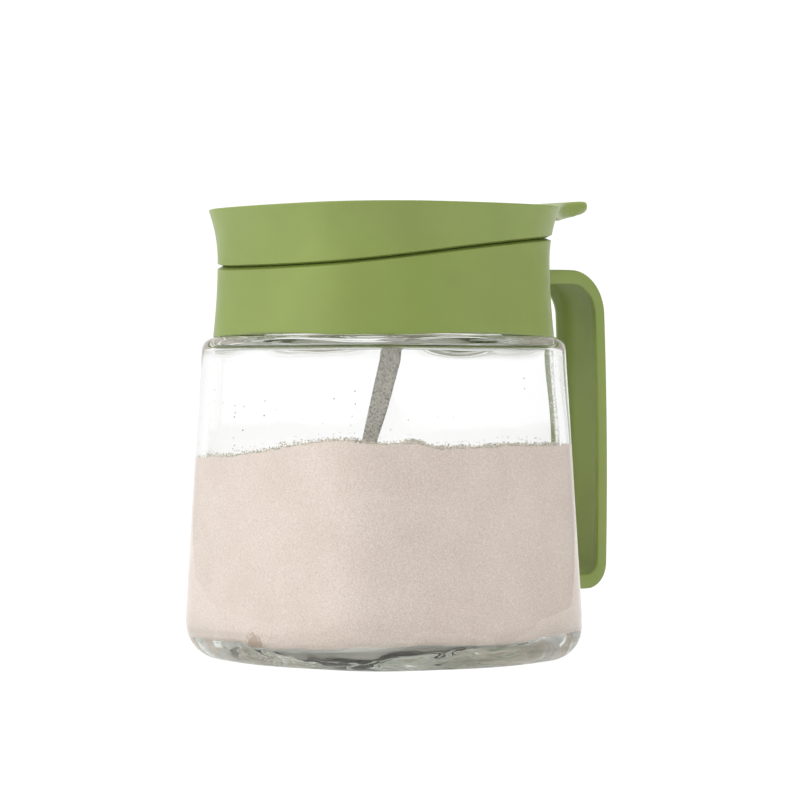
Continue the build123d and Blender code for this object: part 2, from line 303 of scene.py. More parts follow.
def feed(socket, value):
    """Links an input to another node's output, or gives it a value."""
    if isinstance(value, bpy.types.NodeSocket):
        socket.id_data.links.new(value, socket)
    else:
        socket.default_value = value


def node(tree, kind, inputs=(), **settings):
    """New node with its settings, and its inputs fed by name or number."""
    made = tree.nodes.new(kind)
    for key, value in settings.items():
        setattr(made, key, value)
    for key, value in dict(inputs).items():
        feed(made.inputs[key], value)
    return made


def object_noise(tree, scale, detail=2.0, roughness=0.5):
    """Value of a noise texture on Object coordinates."""
    place = node(tree, "ShaderNodeTexCoord").outputs["Object"]
    return node(tree, "ShaderNodeTexNoise", {"Scale": scale, "Detail": detail, "Roughness": roughness,
                                             "Vector": place}).outputs["Fac"]


def spread(tree, source, low, high, new_low, new_high):
    """Value mapped from one range to another."""
    return node(tree, "ShaderNodeMapRange", {"Value": source, "From Min": low, "From Max": high,
                                             "To Min": new_low, "To Max": new_high}).outputs["Result"]


def maths(tree, operation, first, second):
    """Value of a Math node that joins a socket with another socket or a number."""
    return node(tree, "ShaderNodeMath", {0: first, 1: second}, operation=operation).outputs["Value"]


def blend(tree, factor, first, second, **settings):
    """Colour between two, each of them a colour or a socket."""
    return node(tree, "ShaderNodeMix", {"Factor": factor, "A": first, "B": second},
                data_type="RGBA", **settings).outputs["Result"]


def bump(tree, shader, height, strength, distance):
    """Fine relief on a shader from a texture's value."""
    lump = node(tree, "ShaderNodeBump", {"Strength": strength, "Distance": distance, "Height": height})
    feed(shader.inputs["Normal"], lump.outputs["Normal"])


def tinted(tree, shader, factor, first, second):
    """Base colour that mixes two colours by a factor."""
    colour = blend(tree, factor, (*first, 1), (*second, 1))
    feed(shader.inputs["Base Color"], colour)
    return colour


def one_of_two(tree, factor, first, second, output):
    """Surface of an output node: one of two shaders by a factor."""
    either = node(tree, "ShaderNodeMixShader", {"Fac": factor, 1: first, 2: second})
    feed(tree.nodes[output].inputs["Surface"], either.outputs["Shader"])


def satin_green():
    """Satin injection-moulded plastic: a fine spark texture, faint cloudiness in colour and gloss."""
    colour = bpy.context.scene.jar_colours.plastic
    material, tree, shader = principled("satin_green", colour, 0.36, IOR=1.49)
    cloud = object_noise(tree, 60.0, 3.0)
    factor = spread(tree, cloud, 0.3, 0.7, 0.0, 1.0)
    tinted(tree, shader, factor, [c * 0.96 for c in colour], [min(1, c * 1.05) for c in colour])
    wear = object_noise(tree, 220.0, 4.0)
    feed(shader.inputs["Roughness"], spread(tree, wear, 0.3, 0.7, 0.31, 0.42))
    grain = object_noise(tree, 2600.0, 2.0)
    bump(tree, shader, grain, 0.10, 0.00012)
    return material


def jar_glass():
    """Clear soda glass that turns green in depth and lets lamps through to what it holds; painted shade
    darkens its foot and shoulder.
    """
    material, tree, shader = principled("jar_glass", (1, 1, 1), 0.0, IOR=1.5, Transmission_Weight=1.0)
    path = node(tree, "ShaderNodeLightPath").outputs
    light = maths(tree, "MAXIMUM", path["Is Shadow Ray"], path["Is Diffuse Ray"])
    clear = node(tree, "ShaderNodeBsdfTransparent", {"Color": (0.97, 0.98, 0.97, 1)})
    one_of_two(tree, light, shader.outputs["BSDF"], clear.outputs["BSDF"], "Material Output")
    tint = (*bpy.context.scene.jar_colours.glass_depth, 1)
    depth = node(tree, "ShaderNodeVolumeAbsorption", {"Color": tint, "Density": 14.0})
    feed(tree.nodes["Material Output"].inputs["Volume"], depth.outputs["Volume"])
    wave = object_noise(tree, 60.0, 1.0)
    bump(tree, shader, wave, 0.12, 0.0004)
    # Painted shade: darker, streaked glass colour in the foot and the shoulder.
    mould_streaks(tree, shader)
    return material


def mould_streaks(tree, shader):
    """Painted shade: long grey-green streaks darken the glass's colour in the thick foot and the shoulder,
    which lie in the jar's own shade.
    """
    place = node(tree, "ShaderNodeTexCoord").outputs["Object"]
    height = node(tree, "ShaderNodeSeparateXYZ", {"Vector": place}).outputs["Z"]
    stretched = node(tree, "ShaderNodeMapping", {"Scale": (28.0, 28.0, 520.0), "Vector": place})
    streaks = node(tree, "ShaderNodeTexNoise", {"Scale": 1.0, "Detail": 1.5,
                                                "Vector": stretched.outputs["Vector"]})
    factor = spread(tree, streaks.outputs["Fac"], 0.42, 0.60, 0.0, 1.0)
    # Painted shade: the streaks' grey-green, mixed into the glass's colour by height.
    colour = blend(tree, factor, (0.48, 0.51, 0.46, 1), (1, 1, 1, 1))
    foot = spread(tree, height, foot_shade_fade[0] * MM, foot_shade_fade[1] * MM, 0.9, 0.0)
    shoulder = spread(tree, height, shoulder_shade_fade[0] * MM, shoulder_shade_fade[1] * MM, 0.0, 0.3)
    seen = maths(tree, "MAXIMUM", foot, shoulder)
    feed(shader.inputs["Base Color"], blend(tree, seen, (1, 1, 1, 1), colour))


def powder_mix():
    """Fine seasoning: pale grains with darker and whiter ones among them, and a matt grainy face."""
    colour = bpy.context.scene.jar_colours.powder
    material, tree, shader = principled("powder_mix", colour, 0.95)
    shader.inputs["Specular IOR Level"].default_value = 0.15
    fine = object_noise(tree, 3000.0, 3.0, 0.7)
    coarse = object_noise(tree, 90.0, 2.0)
    factor = spread(tree, fine, 0.32, 0.68, 0.0, 1.0)
    grains = tinted(tree, shader, factor, [c * 0.82 for c in colour], [min(1, c * 1.15) for c in colour])
    clouds = spread(tree, coarse, 0.35, 0.65, 0, 1)
    shade = blend(tree, clouds, (0.93, 0.91, 0.89, 1), (1, 1, 1, 1))
    brown_lump(tree, shader, blend(tree, 0.6, grains, shade, blend_type="MULTIPLY"))
    bump(tree, shader, fine, 0.35, 0.0002)
    return material


def brown_lump(tree, shader, colour):
    """Ragged brown spot over the powder's colour."""
    place = node(tree, "ShaderNodeTexCoord").outputs["Object"]
    reach = node(tree, "ShaderNodeVectorMath", {0: place, 1: [c * MM for c in lump_place]},
                 operation="DISTANCE")
    uneven = maths(tree, "MULTIPLY", object_noise(tree, 900.0, 3.0, 0.7), lump_raggedness * MM)
    ragged = maths(tree, "ADD", reach.outputs["Value"], uneven)
    inside = spread(tree, ragged, (lump_radius - lump_edge) * MM, lump_radius * MM, 0.8, 0.0)
    feed(shader.inputs["Base Color"], blend(tree, inside, colour, (0.42, 0.31, 0.235, 1)))


def dusty_crumbs():
    """Crumbs and dust of the seasoning that cling to the glass, greyer than the fill."""
    material, tree, shader = principled("dusty_crumbs", (0.62, 0.60, 0.52), 0.95)
    shader.inputs["Specular IOR Level"].default_value = 0.15
    speck = object_noise(tree, 1400.0, 2.0)
    tinted(tree, shader, spread(tree, speck, 0.35, 0.65, 0.0, 1.0),
           (0.50, 0.49, 0.41), (0.80, 0.74, 0.66))
    return material


def dark_spice():
    """Dark specks of spice in the mix."""
    material, tree, shader = principled("dark_spice", (0.13, 0.11, 0.09), 0.8)
    speck = object_noise(tree, 2000.0, 2.0)
    tinted(tree, shader, speck, (0.08, 0.07, 0.055), (0.22, 0.18, 0.15))
    return material


def spoon_plastic():
    """Clear plastic, dulled by the powder that clings to it."""
    material, tree, shader = principled("spoon_plastic", (0.80, 0.79, 0.74), 0.25,
                                        IOR=1.49, Transmission_Weight=0.6)
    dust = object_noise(tree, 1500.0, 3.0, 0.7)
    factor = spread(tree, dust, 0.40, 0.62, 0.0, 1.0)
    tinted(tree, shader, factor, (0.46, 0.45, 0.40), (0.95, 0.90, 0.84))
    feed(shader.inputs["Roughness"], spread(tree, dust, 0.4, 0.6, 0.25, 0.8))
    bump(tree, shader, dust, 0.6, 0.0003)
    return material


def milky_rubber():
    """Soft, milky sealing rubber."""
    material, tree, shader = principled("milky_rubber", (0.84, 0.84, 0.80), 0.55)
    speck = object_noise(tree, 500.0, 2.0)
    tinted(tree, shader, speck, (0.80, 0.80, 0.76), (0.88, 0.88, 0.85))
    bump(tree, shader, speck, 0.15, 0.0001)
    return material


def pale_moulding():
    """Pale, half-clear plastic of the lid's inner plug."""
    material, tree, shader = principled("pale_moulding", (0.83, 0.85, 0.80), 0.38)
    flow = object_noise(tree, 70.0, 2.0)
    tinted(tree, shader, flow, (0.80, 0.82, 0.76), (0.86, 0.88, 0.83))
    feed(shader.inputs["Roughness"], spread(tree, flow, 0.3, 0.7, 0.32, 0.45))
    return material


def pin_steel():
    """Turned steel of the hinge pin."""
    material, tree, shader = principled("pin_steel", (0.62, 0.61, 0.59), 0.3, Metallic=1.0)
    turned = object_noise(tree, 900.0, 2.0)
    feed(shader.inputs["Roughness"], spread(tree, turned, 0.3, 0.7, 0.22, 0.4))
    return material


def dress(obj, body, maker, slot, *replaced):
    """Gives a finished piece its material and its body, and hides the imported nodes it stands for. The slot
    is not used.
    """
    obj.data.materials.clear()
    obj.data.materials.append(material_once(maker))
    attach(obj, body)
    if replaced:
        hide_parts(*replaced)


def material_once(maker):
    """Material of a maker, made only the first time."""
    found = bpy.data.materials.get(maker.__name__)
    return found if found is not None else maker()


def glass_half_width(height):
    """Half width of the glass body outside, which tapers upwards."""
    return foot_half_width + (shoulder_half_width - foot_half_width) * height / body_height


def glass_corner(height):
    """Corner radius of the glass body outside."""
    return foot_corner + (shoulder_corner - foot_corner) * height / body_height


def tapered_ring(inset, height):
    """Ring on the glass body's straight taper, drawn in by an inset."""
    return square_ring(glass_half_width(height) - inset, glass_corner(height) - inset, height)


def wrinkle(point):
    """Noise that runs in long streaks round the jar, close together across them."""
    reach = math.hypot(point[0], point[1])
    turn = math.atan2(point[1], point[0])
    return noise.noise(Vector((3.2 * math.cos(turn), 3.2 * math.sin(turn), (reach + point[2]) / 1.3)))


def streaked(ring, amount):
    """Ring moved up and down by the fine waves of pressed glass."""
    moved = ring.copy()
    for point in moved:
        point[2] += amount * (0.5 * ripple(point[0], point[1], 0, 4.0, 12.0) + 0.5 * wrinkle(point))
    return moved


def wrinkled(ring, amount):
    """Ring drawn in unevenly by the streaks that the mould leaves in the foot."""
    moved = ring.copy()
    for point, old in zip(moved, ring):
        point[:2] *= 1 - amount * (1 + wrinkle(old)) / math.hypot(old[0], old[1])
    return moved


def glass_outside():
    """Rings from the middle of the foot to the neck's root."""
    rings = []
    bend = foot_round + foot_corner_round * cornering
    bend -= foot_uneven * np.maximum(0, np.cos(angles + math.radians(95))) ** 2
    flat = glass_half_width(0) - bend
    for share in np.linspace(0.12, 0.96, 30):
        dip = push_up * (0.5 + 0.5 * math.cos(math.pi * share / 0.96))
        ring = square_ring(flat, foot_corner - bend, dip, share)
        rings.append(streaked(ring, 0.45 * dip))
    for angle in quarter_turn(-90, 0, 26):
        ring = tapered_ring(bend * (1 - math.cos(angle)), bend * (1 + math.sin(angle)))
        rings.append(wrinkled(ring, 0.07 * math.cos(angle)))
    for share in np.linspace(0, 1, 24)[1:-1]:
        height = bend + share * (body_height - shoulder_round - bend)
        rings.append(rippled(tapered_ring(0, height), 0.10, 26.0, 3.0))
    for angle in quarter_turn(0, 90, 9):
        inset = shoulder_round * (1 - math.cos(angle))
        height = body_height - shoulder_round * (1 - math.sin(angle))
        rings.append(rippled(tapered_ring(inset, height), 0.08, 14.0, 5.0))
    rings.append(ring_at(neck_radius + neck_root_round + 1.0, body_height))
    for angle in quarter_turn(-90, 0, 4):
        rings.append(ring_at(neck_radius + neck_root_round * (1 - math.cos(angle)),
                             body_height + neck_root_round * (1 + math.sin(angle))))
    return rings


def glass_neck():
    """Rings up the neck, over its lip and down its bore."""
    top = glass_high.z
    rings = [ring_at(neck_radius, top - lip_round)]
    for angle in quarter_turn(0, 180, 10)[1:]:
        middle = (neck_radius + bore_radius) / 2
        half = (neck_radius - bore_radius) / 2
        rings.append(ring_at(middle + half * math.cos(angle), top - lip_round * (1 - math.sin(angle))))
    for further, over in ((0, 1.0), (0.3, 0.3), (1.0, 0)):
        rings.append(ring_at(bore_radius + further, body_height - shoulder_wall + over))
    return rings


def inner_rings(gap, floor, top, floor_gap=0.0):
    """Rings of the glass's hollow from the floor's middle up to a height, drawn in by a gap."""
    inset = glass_wall + gap
    rings = []
    bend = inner_floor_round + inner_corner_round * cornering
    to_side = np.cos(angles - math.radians(135)) ** 2
    contact = contact_end + (contact_corner_rise + contact_side_rise * to_side) * cornering
    flat = glass_half_width(floor) - inset - bend
    corner = glass_corner(floor) - inset - bend
    for share in (0.12, 0.3, 0.5, 0.7, 0.88):
        rings.append(square_ring(flat, corner, floor + floor_gap + 0.5 * (1 - share ** 2), share))
    for angle in quarter_turn(-90, 0, 14):
        lift = bend * (1 + math.sin(angle)) - gap * math.sin(angle)
        clear = np.clip((contact - lift) / 0.5, 0, 1)
        further = bend * (1 - math.cos(angle))
        rings.append(tapered_ring(inset + further, floor + lift + gap + (floor_gap - gap) * clear))
    for share in np.linspace(0, 1, 22)[1:]:
        rings.append(tapered_ring(inset, floor + bend + share * (top - floor - bend)))
    return rings


def wavy_floor(rings, floor):
    """Rings whose low ones get the uneven depth of pressed glass, which fades out above the floor."""
    fade = 9.0
    made = []
    for ring in rings:
        ring = ring.copy()
        for point in ring:
            near = max(0.0, 1 - (point[2] - floor) / fade)
            point[2] += 0.75 * near * ripple(point[0], point[1], 0, 12.0, 9.0)
            point[2] += 0.20 * near * ripple(point[0], point[1], 0, 4.5, 6.0)
            point[2] += 0.08 * near * wrinkle(point)
        made.append(rippled(ring, 0.14, 15.0, 7.0))
    return made


class JAR_OT_glass(bpy.types.Operator):
    """Glass body, neck and bore as one smooth wall"""

    bl_idname = "jar.glass"
    bl_label = "Glass jar"

    def execute(self, context):
        floor = context.scene.jar_sizes.glass_floor / MM
        ceiling = body_height - shoulder_wall
        hollow = wavy_floor(inner_rings(0, floor, ceiling - inner_shoulder_round), floor)
        for angle in quarter_turn(0, 90, 6)[1:]:
            further = inner_shoulder_round * (1 - math.cos(angle))
            height = ceiling - inner_shoulder_round * (1 - math.sin(angle))
            hollow.append(rippled(tapered_ring(glass_wall + further, height), 0.06, 14.0, 2.0))
        rings = glass_outside() + glass_neck() + hollow[::-1]
        jar = skin("jar_glass_body", rings, 60.0, start_pole=(0, 0, push_up), end_pole=(0, 0, floor + 0.5))
        dress(jar, "jar", jar_glass, "glass", "glass_jar")
        return {"FINISHED"}


def rib_section_sweep(root, tip, root_half, tip_half, turn, climb, steps):
    """Thread rib: rounded ridge that climbs round the axis and fades at both ends."""
    rings = []
    for step in range(steps + 1):
        share = step / steps
        fade = math.sin(math.pi * min(share, 1 - share, 0.12) / 0.24)
        reach = root + (tip - root) * max(fade, 0.02)
        angle = turn * share
        edge = reach - (tip - root) * 0.05
        flank = root + (reach - root) * 0.6
        flank_half = (root_half + tip_half) / 2
        profile = [(root, -root_half), (flank, -flank_half), (edge, -tip_half), (reach, 0),
                   (edge, tip_half), (flank, flank_half), (root, root_half)]
        rings.append(np.array([(r * math.cos(angle), r * math.sin(angle), h + climb * share)
                               for r, h in profile]))
    start = rings[0].mean(axis=0)
    end = rings[-1].mean(axis=0)
    return skin_parts(rings, start_pole=start, end_pole=end)


def growing_tree(name, sockets):
    """Geometry Nodes tree, the sockets of its named inputs and its output node."""
    tree = bpy.data.node_groups.new(name, "GeometryNodeTree")
    tree.interface.new_socket("Geometry", in_out="INPUT", socket_type="NodeSocketGeometry")
    for socket, kind in sockets.items():
        tree.interface.new_socket(socket, in_out="INPUT", socket_type="NodeSocket" + kind)
    tree.interface.new_socket("Geometry", in_out="OUTPUT", socket_type="NodeSocketGeometry")
    return tree, node(tree, "NodeGroupInput").outputs, node(tree, "NodeGroupOutput")


def place_copies(tree, enter, leave, points, instance, euler, **more):
    """Ends a tree: copies of a piece on points, turned, made real and given the material."""
    turn = node(tree, "FunctionNodeEulerToRotation", {"Euler": euler}).outputs["Rotation"]
    place = node(tree, "GeometryNodeInstanceOnPoints",
                 {"Points": points, "Instance": instance, "Rotation": turn, **more})
    real = node(tree, "GeometryNodeRealizeInstances", {"Geometry": place.outputs["Instances"]})
    paint = node(tree, "GeometryNodeSetMaterial", {"Geometry": real.outputs["Geometry"],
                                                   "Material": enter["Material"]})
    feed(leave.inputs["Geometry"], paint.outputs["Geometry"])


def round_the_axis(name, points, faces, count, material):
    """Plain mesh of one piece repeated round the jar's axis by Geometry Nodes."""
    tree, enter, leave = growing_tree(name + "_repeat", {"Count": "Int", "Material": "Material"})
    dots = node(tree, "GeometryNodePoints", {"Count": enter["Count"]})
    index = node(tree, "GeometryNodeInputIndex").outputs["Index"]
    angle = maths(tree, "MULTIPLY", maths(tree, "DIVIDE", index, enter["Count"]), 2 * math.pi)
    turn = node(tree, "ShaderNodeCombineXYZ", {"Z": angle})
    place_copies(tree, enter, leave, dots.outputs[0], enter["Geometry"], turn.outputs["Vector"])
    source = mesh_object(name, points, faces, 50.0)
    return grown(source, tree, {"Count": count, "Material": material})


def grown(source, tree, values):
    """Plain mesh object from a source object and a Geometry Nodes tree with its inputs set."""
    modifier = source.modifiers.new("grow", "NODES")
    modifier.node_group = tree
    for item in tree.interface.items_tree:
        if item.item_type == "SOCKET" and item.in_out == "INPUT" and item.name in values:
            modifier[item.identifier] = values[item.name]
    bpy.context.view_layer.update()
    evaluated = source.evaluated_get(bpy.context.evaluated_depsgraph_get())
    mesh = bpy.data.meshes.new_from_object(evaluated)
    name = source.name
    old = source.data
    bpy.data.objects.remove(source)
    bpy.data.meshes.remove(old)
    mesh.name = name
    made = bpy.data.objects.new(name, mesh)
    bpy.context.scene.collection.objects.link(made)
    return made


thread_starts = 4
thread_lead = 16.0
ridge_turn = math.radians(80)
ridge_start_height = body_height + 4.2
ridge_depth = 1.4
lug_turn = math.radians(30)
lug_drop = 1.55
lug_clearance = 0.5


class JAR_OT_thread(bpy.types.Operator):
    """Four-start thread on the glass neck, and the collar's lugs under it"""

    bl_idname = "jar.thread"
    bl_label = "Neck thread"

    def execute(self, context):
        climb = thread_lead * ridge_turn / (2 * math.pi)
        points, faces = rib_section_sweep(neck_radius - 0.4, neck_radius + ridge_depth, 1.0, 0.4,
                                          ridge_turn, climb, 28)
        points = [np.array(p) + (0, 0, ridge_start_height) for p in points]
        ridges = round_the_axis("neck_thread", points, faces, thread_starts, material_once(jar_glass))
        dress(ridges, "jar", jar_glass, "glass")
        points, faces = rib_section_sweep(skirt_radius + 0.3, neck_radius + lug_clearance, 0.85, 0.4,
                                          lug_turn, thread_lead * lug_turn / (2 * math.pi), 12)
        first = (ridge_turn - lug_turn) / 2
        turned = Matrix.Rotation(first, 3, "Z")
        height = ridge_start_height + thread_lead * first / (2 * math.pi) - lug_drop
        points = [np.array(turned @ Vector(p)) + (0, 0, height) for p in points]
        faces = [face[::-1] for face in faces]
        lugs = round_the_axis("collar_lugs", points, faces, thread_starts, material_once(satin_green))
        dress(lugs, "collar", satin_green, "green_plastic")
        return {"FINISHED"}


def shell_half_width(height):
    """Half width of collar and lid outside, waisted."""
    low = collar_low.z
    below = waist_half_width + foot_flare * ((waist_height - height) / (waist_height - low)) ** 2
    flare = rim_half_width - waist_half_width
    above = waist_half_width + flare * ((height - waist_height) / (rim_height - waist_height)) ** 2
    return np.where(height < waist_height, below, above)


def seam_height(x):
    """Height of the bowed seam, which climbs from the lid's front to its hinge."""
    share = x / waist_half_width
    middle = (seam_front_height + seam_rear_height) / 2 + seam_bow
    return middle + share * (seam_rear_height - seam_front_height) / 2 - seam_bow * share ** 2


def rim_top(x):
    """Height of the lid's top, which rises slightly towards the handle."""
    return rim_height + rim_rise / 2 * x / rim_half_width


def shell_ring(inset, level):
    """Ring on the waisted form, drawn in by an inset, at a height that may depend on x."""
    height = np.full(angles.shape, float(level(0.0)))
    for _ in range(4):
        radius = plan_radius(angles, shell_half_width(height) - inset, shell_corner - inset)
        height = np.asarray(level(radius * np.cos(angles)), float) * np.ones_like(angles)
    return ring_at(radius, height)


def level_at(height):
    """Level whose height is the same everywhere."""
    return lambda x: height + 0 * x


def seam_at(shift):
    """Level that follows the seam, some way over or under it."""
    return lambda x: seam_height(x) + shift


def edge_levels(radius, steps=4):
    """Insets and rises of a rounded edge of 90 degrees."""
    return [(radius * (1 - math.cos(a)), radius * math.sin(a)) for a in quarter_turn(0, 90, steps)]


def waved_foot(ring, share):
    """Ring moved by a share of the wave in the collar's foot: it dips at the corners."""
    moved = ring.copy()
    moved[:, 2] += share * (foot_wave * np.cos(4 * angles) - foot_dip)
    return moved


class JAR_OT_collar(bpy.types.Operator):
    """Collar: waisted outer wall, deck with the mouth and inner skirt"""

    bl_idname = "jar.collar"
    bl_label = "Collar"

    def execute(self, context):
        soft = context.scene.jar_sizes.edge_round / MM
        foot = collar_low.z
        deck_low = washer_high.z
        deck_top = gasket_low.z
        rings = [shell_ring(shell_wall, level_at(foot + broken_edge)),
                 shell_ring(shell_wall - 0.25, level_at(foot))]
        low_edge = [shell_ring(inset, level_at(foot + soft - rise))
                    for inset, rise in edge_levels(soft)[::-1]]
        rings += [waved_foot(ring, 1.0) for ring in low_edge]
        shoulder = -seam_gap / 2 - groove_rise
        for share in np.linspace(0, 1, 26)[1:-1]:
            ring = shell_ring(0, lambda x, s=share: foot + soft
                              + s * (seam_height(x) + shoulder - seam_soft - soft - foot))
            rings.append(waved_foot(ring, max(0.0, 1 - 2 * share)))
        rings += [shell_ring(inset, seam_at(shoulder - seam_soft + rise))
                  for inset, rise in edge_levels(seam_soft)]
        rings.append(shell_ring(groove_depth * 0.7, seam_at(shoulder + groove_rise * 0.62)))
        rings.append(shell_ring(groove_depth, seam_at(-seam_gap / 2)))
        rings.append(shell_ring(shell_wall - 0.2, seam_at(-seam_gap / 2)))
        rings.append(shell_ring(shell_wall, seam_at(-seam_gap / 2 - 0.2)))
        rings.append(shell_ring(shell_wall, lambda x: np.minimum(deck_top + 0.4, seam_height(x) - 0.6)))
        rings.append(shell_ring(shell_wall + broken_edge, level_at(deck_top)))
        skirt_outside = skirt_radius + skirt_wall
        inside = ((30.0, deck_top), (27.0, deck_top), (mouth_radius + mouth_edge, deck_top),
                  (mouth_radius + 0.3 * mouth_edge, deck_top - 0.3 * mouth_edge),
                  (mouth_radius, deck_top - mouth_edge),
                  (mouth_radius, deck_low + broken_edge), (mouth_radius + broken_edge, deck_low),
                  (skirt_radius, deck_low),
                  (skirt_radius, skirt_foot + broken_edge), (skirt_radius + broken_edge, skirt_foot),
                  (skirt_outside - broken_edge, skirt_foot), (skirt_outside, skirt_foot + broken_edge),
                  (skirt_outside, deck_low))
        rings += [ring_at(radius, height) for radius, height in inside]
        rings.append(shell_ring(shell_wall, level_at(deck_low)))
        collar = skin("collar_wall", rings, 38.0, closed=True)
        dress(collar, "collar", satin_green, "green_plastic", "collar")
        return {"FINISHED"}


def rounded_bar(low, high, radius, name):
    """Box with softened edges between two corners."""
    corners = [[(low, high)[(i >> axis) & 1][axis] for axis in range(3)] for i in range(8)]
    faces = [(0, 2, 3, 1), (4, 5, 7, 6), (0, 1, 5, 4), (2, 6, 7, 3), (0, 4, 6, 2), (1, 3, 7, 5)]
    obj = mesh_object(name, np.array(corners), faces)
    return bevelled(obj, radius)


def bevelled(obj, radius, segments=3):
    """Object with its bevel modifier turned into plain mesh."""
    modifier = obj.modifiers.new("soften", "BEVEL")
    modifier.width = radius * MM
    modifier.segments = segments
    modifier.limit_method = "ANGLE"
    modifier.harden_normals = False
    bpy.context.view_layer.update()
    mesh = bpy.data.meshes.new_from_object(obj.evaluated_get(bpy.context.evaluated_depsgraph_get()))
    obj.modifiers.clear()
    old = obj.data
    obj.data = mesh
    bpy.data.meshes.remove(old)
    mesh.name = obj.name
    return obj


def side_plate(name, outline, half_width, radius):
    """Plate of a side view, given in X and Z, over a width about the XZ plane, with soft edges."""
    count = len(outline)
    points = [(x, -half_width, z) for x, z in outline] + [(x, half_width, z) for x, z in outline]
    faces = [tuple(range(count))[::-1], tuple(range(count, 2 * count))]
    faces += [(i, (i + 1) % count, count + (i + 1) % count, count + i) for i in range(count)]
    obj = mesh_object(name, np.array(points), faces, 30.0)
    recalculate(obj)
    return bevelled(obj, radius)


def recalculate(obj):
    """Turns a closed mesh's faces outwards."""
    mesh = bmesh.new()
    mesh.from_mesh(obj.data)
    bmesh.ops.recalc_face_normals(mesh, faces=mesh.faces)
    mesh.to_mesh(obj.data)
    mesh.free()


knuckle_radius = 2.5
knuckle_half = 5.0
ear_gap = 0.3
ear_width = 3.3
ear_root = 1.4
plate_edge = 0.3
gusset_reach = 6.0
pad_margin = 0.3
pad_edge = 0.4


def round_the_pin(first, last):
    """Round edge of a hinge plate's side view, between two angles."""
    return [(hinge_x + knuckle_radius * math.cos(a), hinge_z + knuckle_radius * math.sin(a))
            for a in quarter_turn(first, last, 14)]


class JAR_OT_hinge(bpy.types.Operator):
    """Hinge behind the jar: collar knuckle with its gusset, lid ears, handle pad and steel pin"""

    bl_idname = "jar.hinge"
    bl_label = "Hinge"

    def execute(self, context):
        inside = waist_half_width - shell_wall / 2
        pad_x = handle_low.x + peg_length
        foot = seam_height(inside) - gusset_reach
        outline = [(inside, foot), (inside, seam_height(inside) - seam_gap)]
        outline += round_the_pin(180, -37) + [(pad_x, foot)]
        gusset = side_plate("collar_knuckle", outline, knuckle_half, plate_edge)
        dress(gusset, "collar", satin_green, "green_plastic")
        pad_half = (handle_high.y - handle_low.y) / 2 + pad_margin
        pad = rounded_bar((inside, -pad_half, handle_high.z - root_plate_height - pad_margin),
                          (pad_x, pad_half, handle_high.z - 2 * pad_margin), pad_edge, "collar_pad")
        dress(pad, "collar", satin_green, "green_plastic")
        ear_mid = knuckle_half + ear_gap + ear_width / 2
        ear_top = hinge_z + knuckle_radius + ear_root
        outline = [(inside, ear_top), (inside, hinge_z)]
        outline += round_the_pin(-180, 0) + [(hinge_x + knuckle_radius, ear_top)]
        for side, label in ((1, "left"), (-1, "right")):
            ear = side_plate("lid_ear_" + label, outline, ear_width / 2, plate_edge)
            ear.data.transform(Matrix.Translation((0, side * ear_mid * MM, 0)))
            dress(ear, "lid", satin_green, "green_plastic")
        pin = frame["nodes"]["hinge_pin"]
        pin.data.materials.clear()
        pin.data.materials.append(material_once(pin_steel))
        return {"FINISHED"}


class JAR_OT_lid(bpy.types.Operator):
    """Lid shell: waisted wall above the seam, sharp flaring rim and a nearly flat top"""

    bl_idname = "jar.lid"
    bl_label = "Lid"

    def execute(self, context):
        ceiling = rim_height - rim_rise / 2 - lid_ceiling
        rings = [ring_at(r, ceiling) for r in (8.0, 20.0, 26.0, 29.5)]
        rings.append(shell_ring(shell_wall + 0.6, level_at(ceiling)))
        rings.append(shell_ring(shell_wall, level_at(ceiling - 0.6)))
        for share in (0.25, 0.5, 0.75):
            rings.append(shell_ring(shell_wall, lambda x, s=share: ceiling - 0.6
                                    + s * (seam_height(x) + 0.8 - ceiling)))
        rings.append(shell_ring(shell_wall, seam_at(seam_gap / 2 + 0.2)))
        rings.append(shell_ring(shell_wall - 0.2, seam_at(seam_gap / 2)))
        rings.append(shell_ring(groove_depth, seam_at(seam_gap / 2)))
        shoulder = seam_gap / 2 + groove_rise
        rings.append(shell_ring(groove_depth * 0.7, seam_at(shoulder - groove_rise * 0.62)))
        rings += [shell_ring(inset, seam_at(shoulder + seam_soft - rise))
                  for inset, rise in edge_levels(seam_soft)[::-1]]
        for share in np.linspace(0, 1, 18)[1:-1]:
            rings.append(shell_ring(0, lambda x, s=share: seam_height(x) + shoulder + seam_soft
                                    + s * (rim_top(x) - rim_edge - seam_height(x) - shoulder - seam_soft)))
        rings += [shell_ring(inset, lambda x, r=rise: rim_top(x) - rim_edge + r)
                  for inset, rise in edge_levels(rim_edge, 5)]
        for share in (0.97, 0.9, 0.75, 0.55, 0.35, 0.15):
            rim = shell_ring(rim_edge, rim_top)
            rim[:, :2] *= share
            rim[:, 2] = rim_top(rim[:, 0])
            rings.append(rim)
        lid = skin("lid_wall", rings, 38.0, start_pole=(0, 0, ceiling), end_pole=(0, 0, rim_top(0)))
        dress(lid, "lid", satin_green, "green_plastic", "lid_shell")
        outside = socket_radius + socket_wall
        socket = [ring_at(r, z) for r, z in ((socket_radius, ceiling - socket_depth),
                                             (outside, ceiling - socket_depth),
                                             (outside, ceiling), (socket_radius, ceiling))]
        ring = skin("lid_socket", socket, 30.0, closed=True)
        dress(ring, "lid", satin_green, "green_plastic")
        return {"FINISHED"}


tab_half_width = 9.0
tab_corner = 5.0
tab_root = 33.0
tab_start = 34.0
tab_sunk = 0.05
tab_sweep = 1.15
tab_bow = 1.7
tab_tip_depth = 2.4
tab_root_cover = 0.8
web_corner_angle = 74.0
web_length = 17.4
web_bend = 12.0
web_run_out = 9.0
web_round = 1.1
web_low_round = 0.6
web_sunk = 0.02
web_lift = 0.5


def tab_top(x):
    """Height of the tab's upper face: it leaves the rim, sweeps up and levels out."""
    start = rim_top(min(x, tab_start)) - tab_sunk
    if x < tab_start:
        return start
    share = min(1.0, (x - tab_start) / (lid_high.x - tab_start))
    return start + (lid_high.z - start) * math.sin(share * math.pi / 2) ** tab_sweep


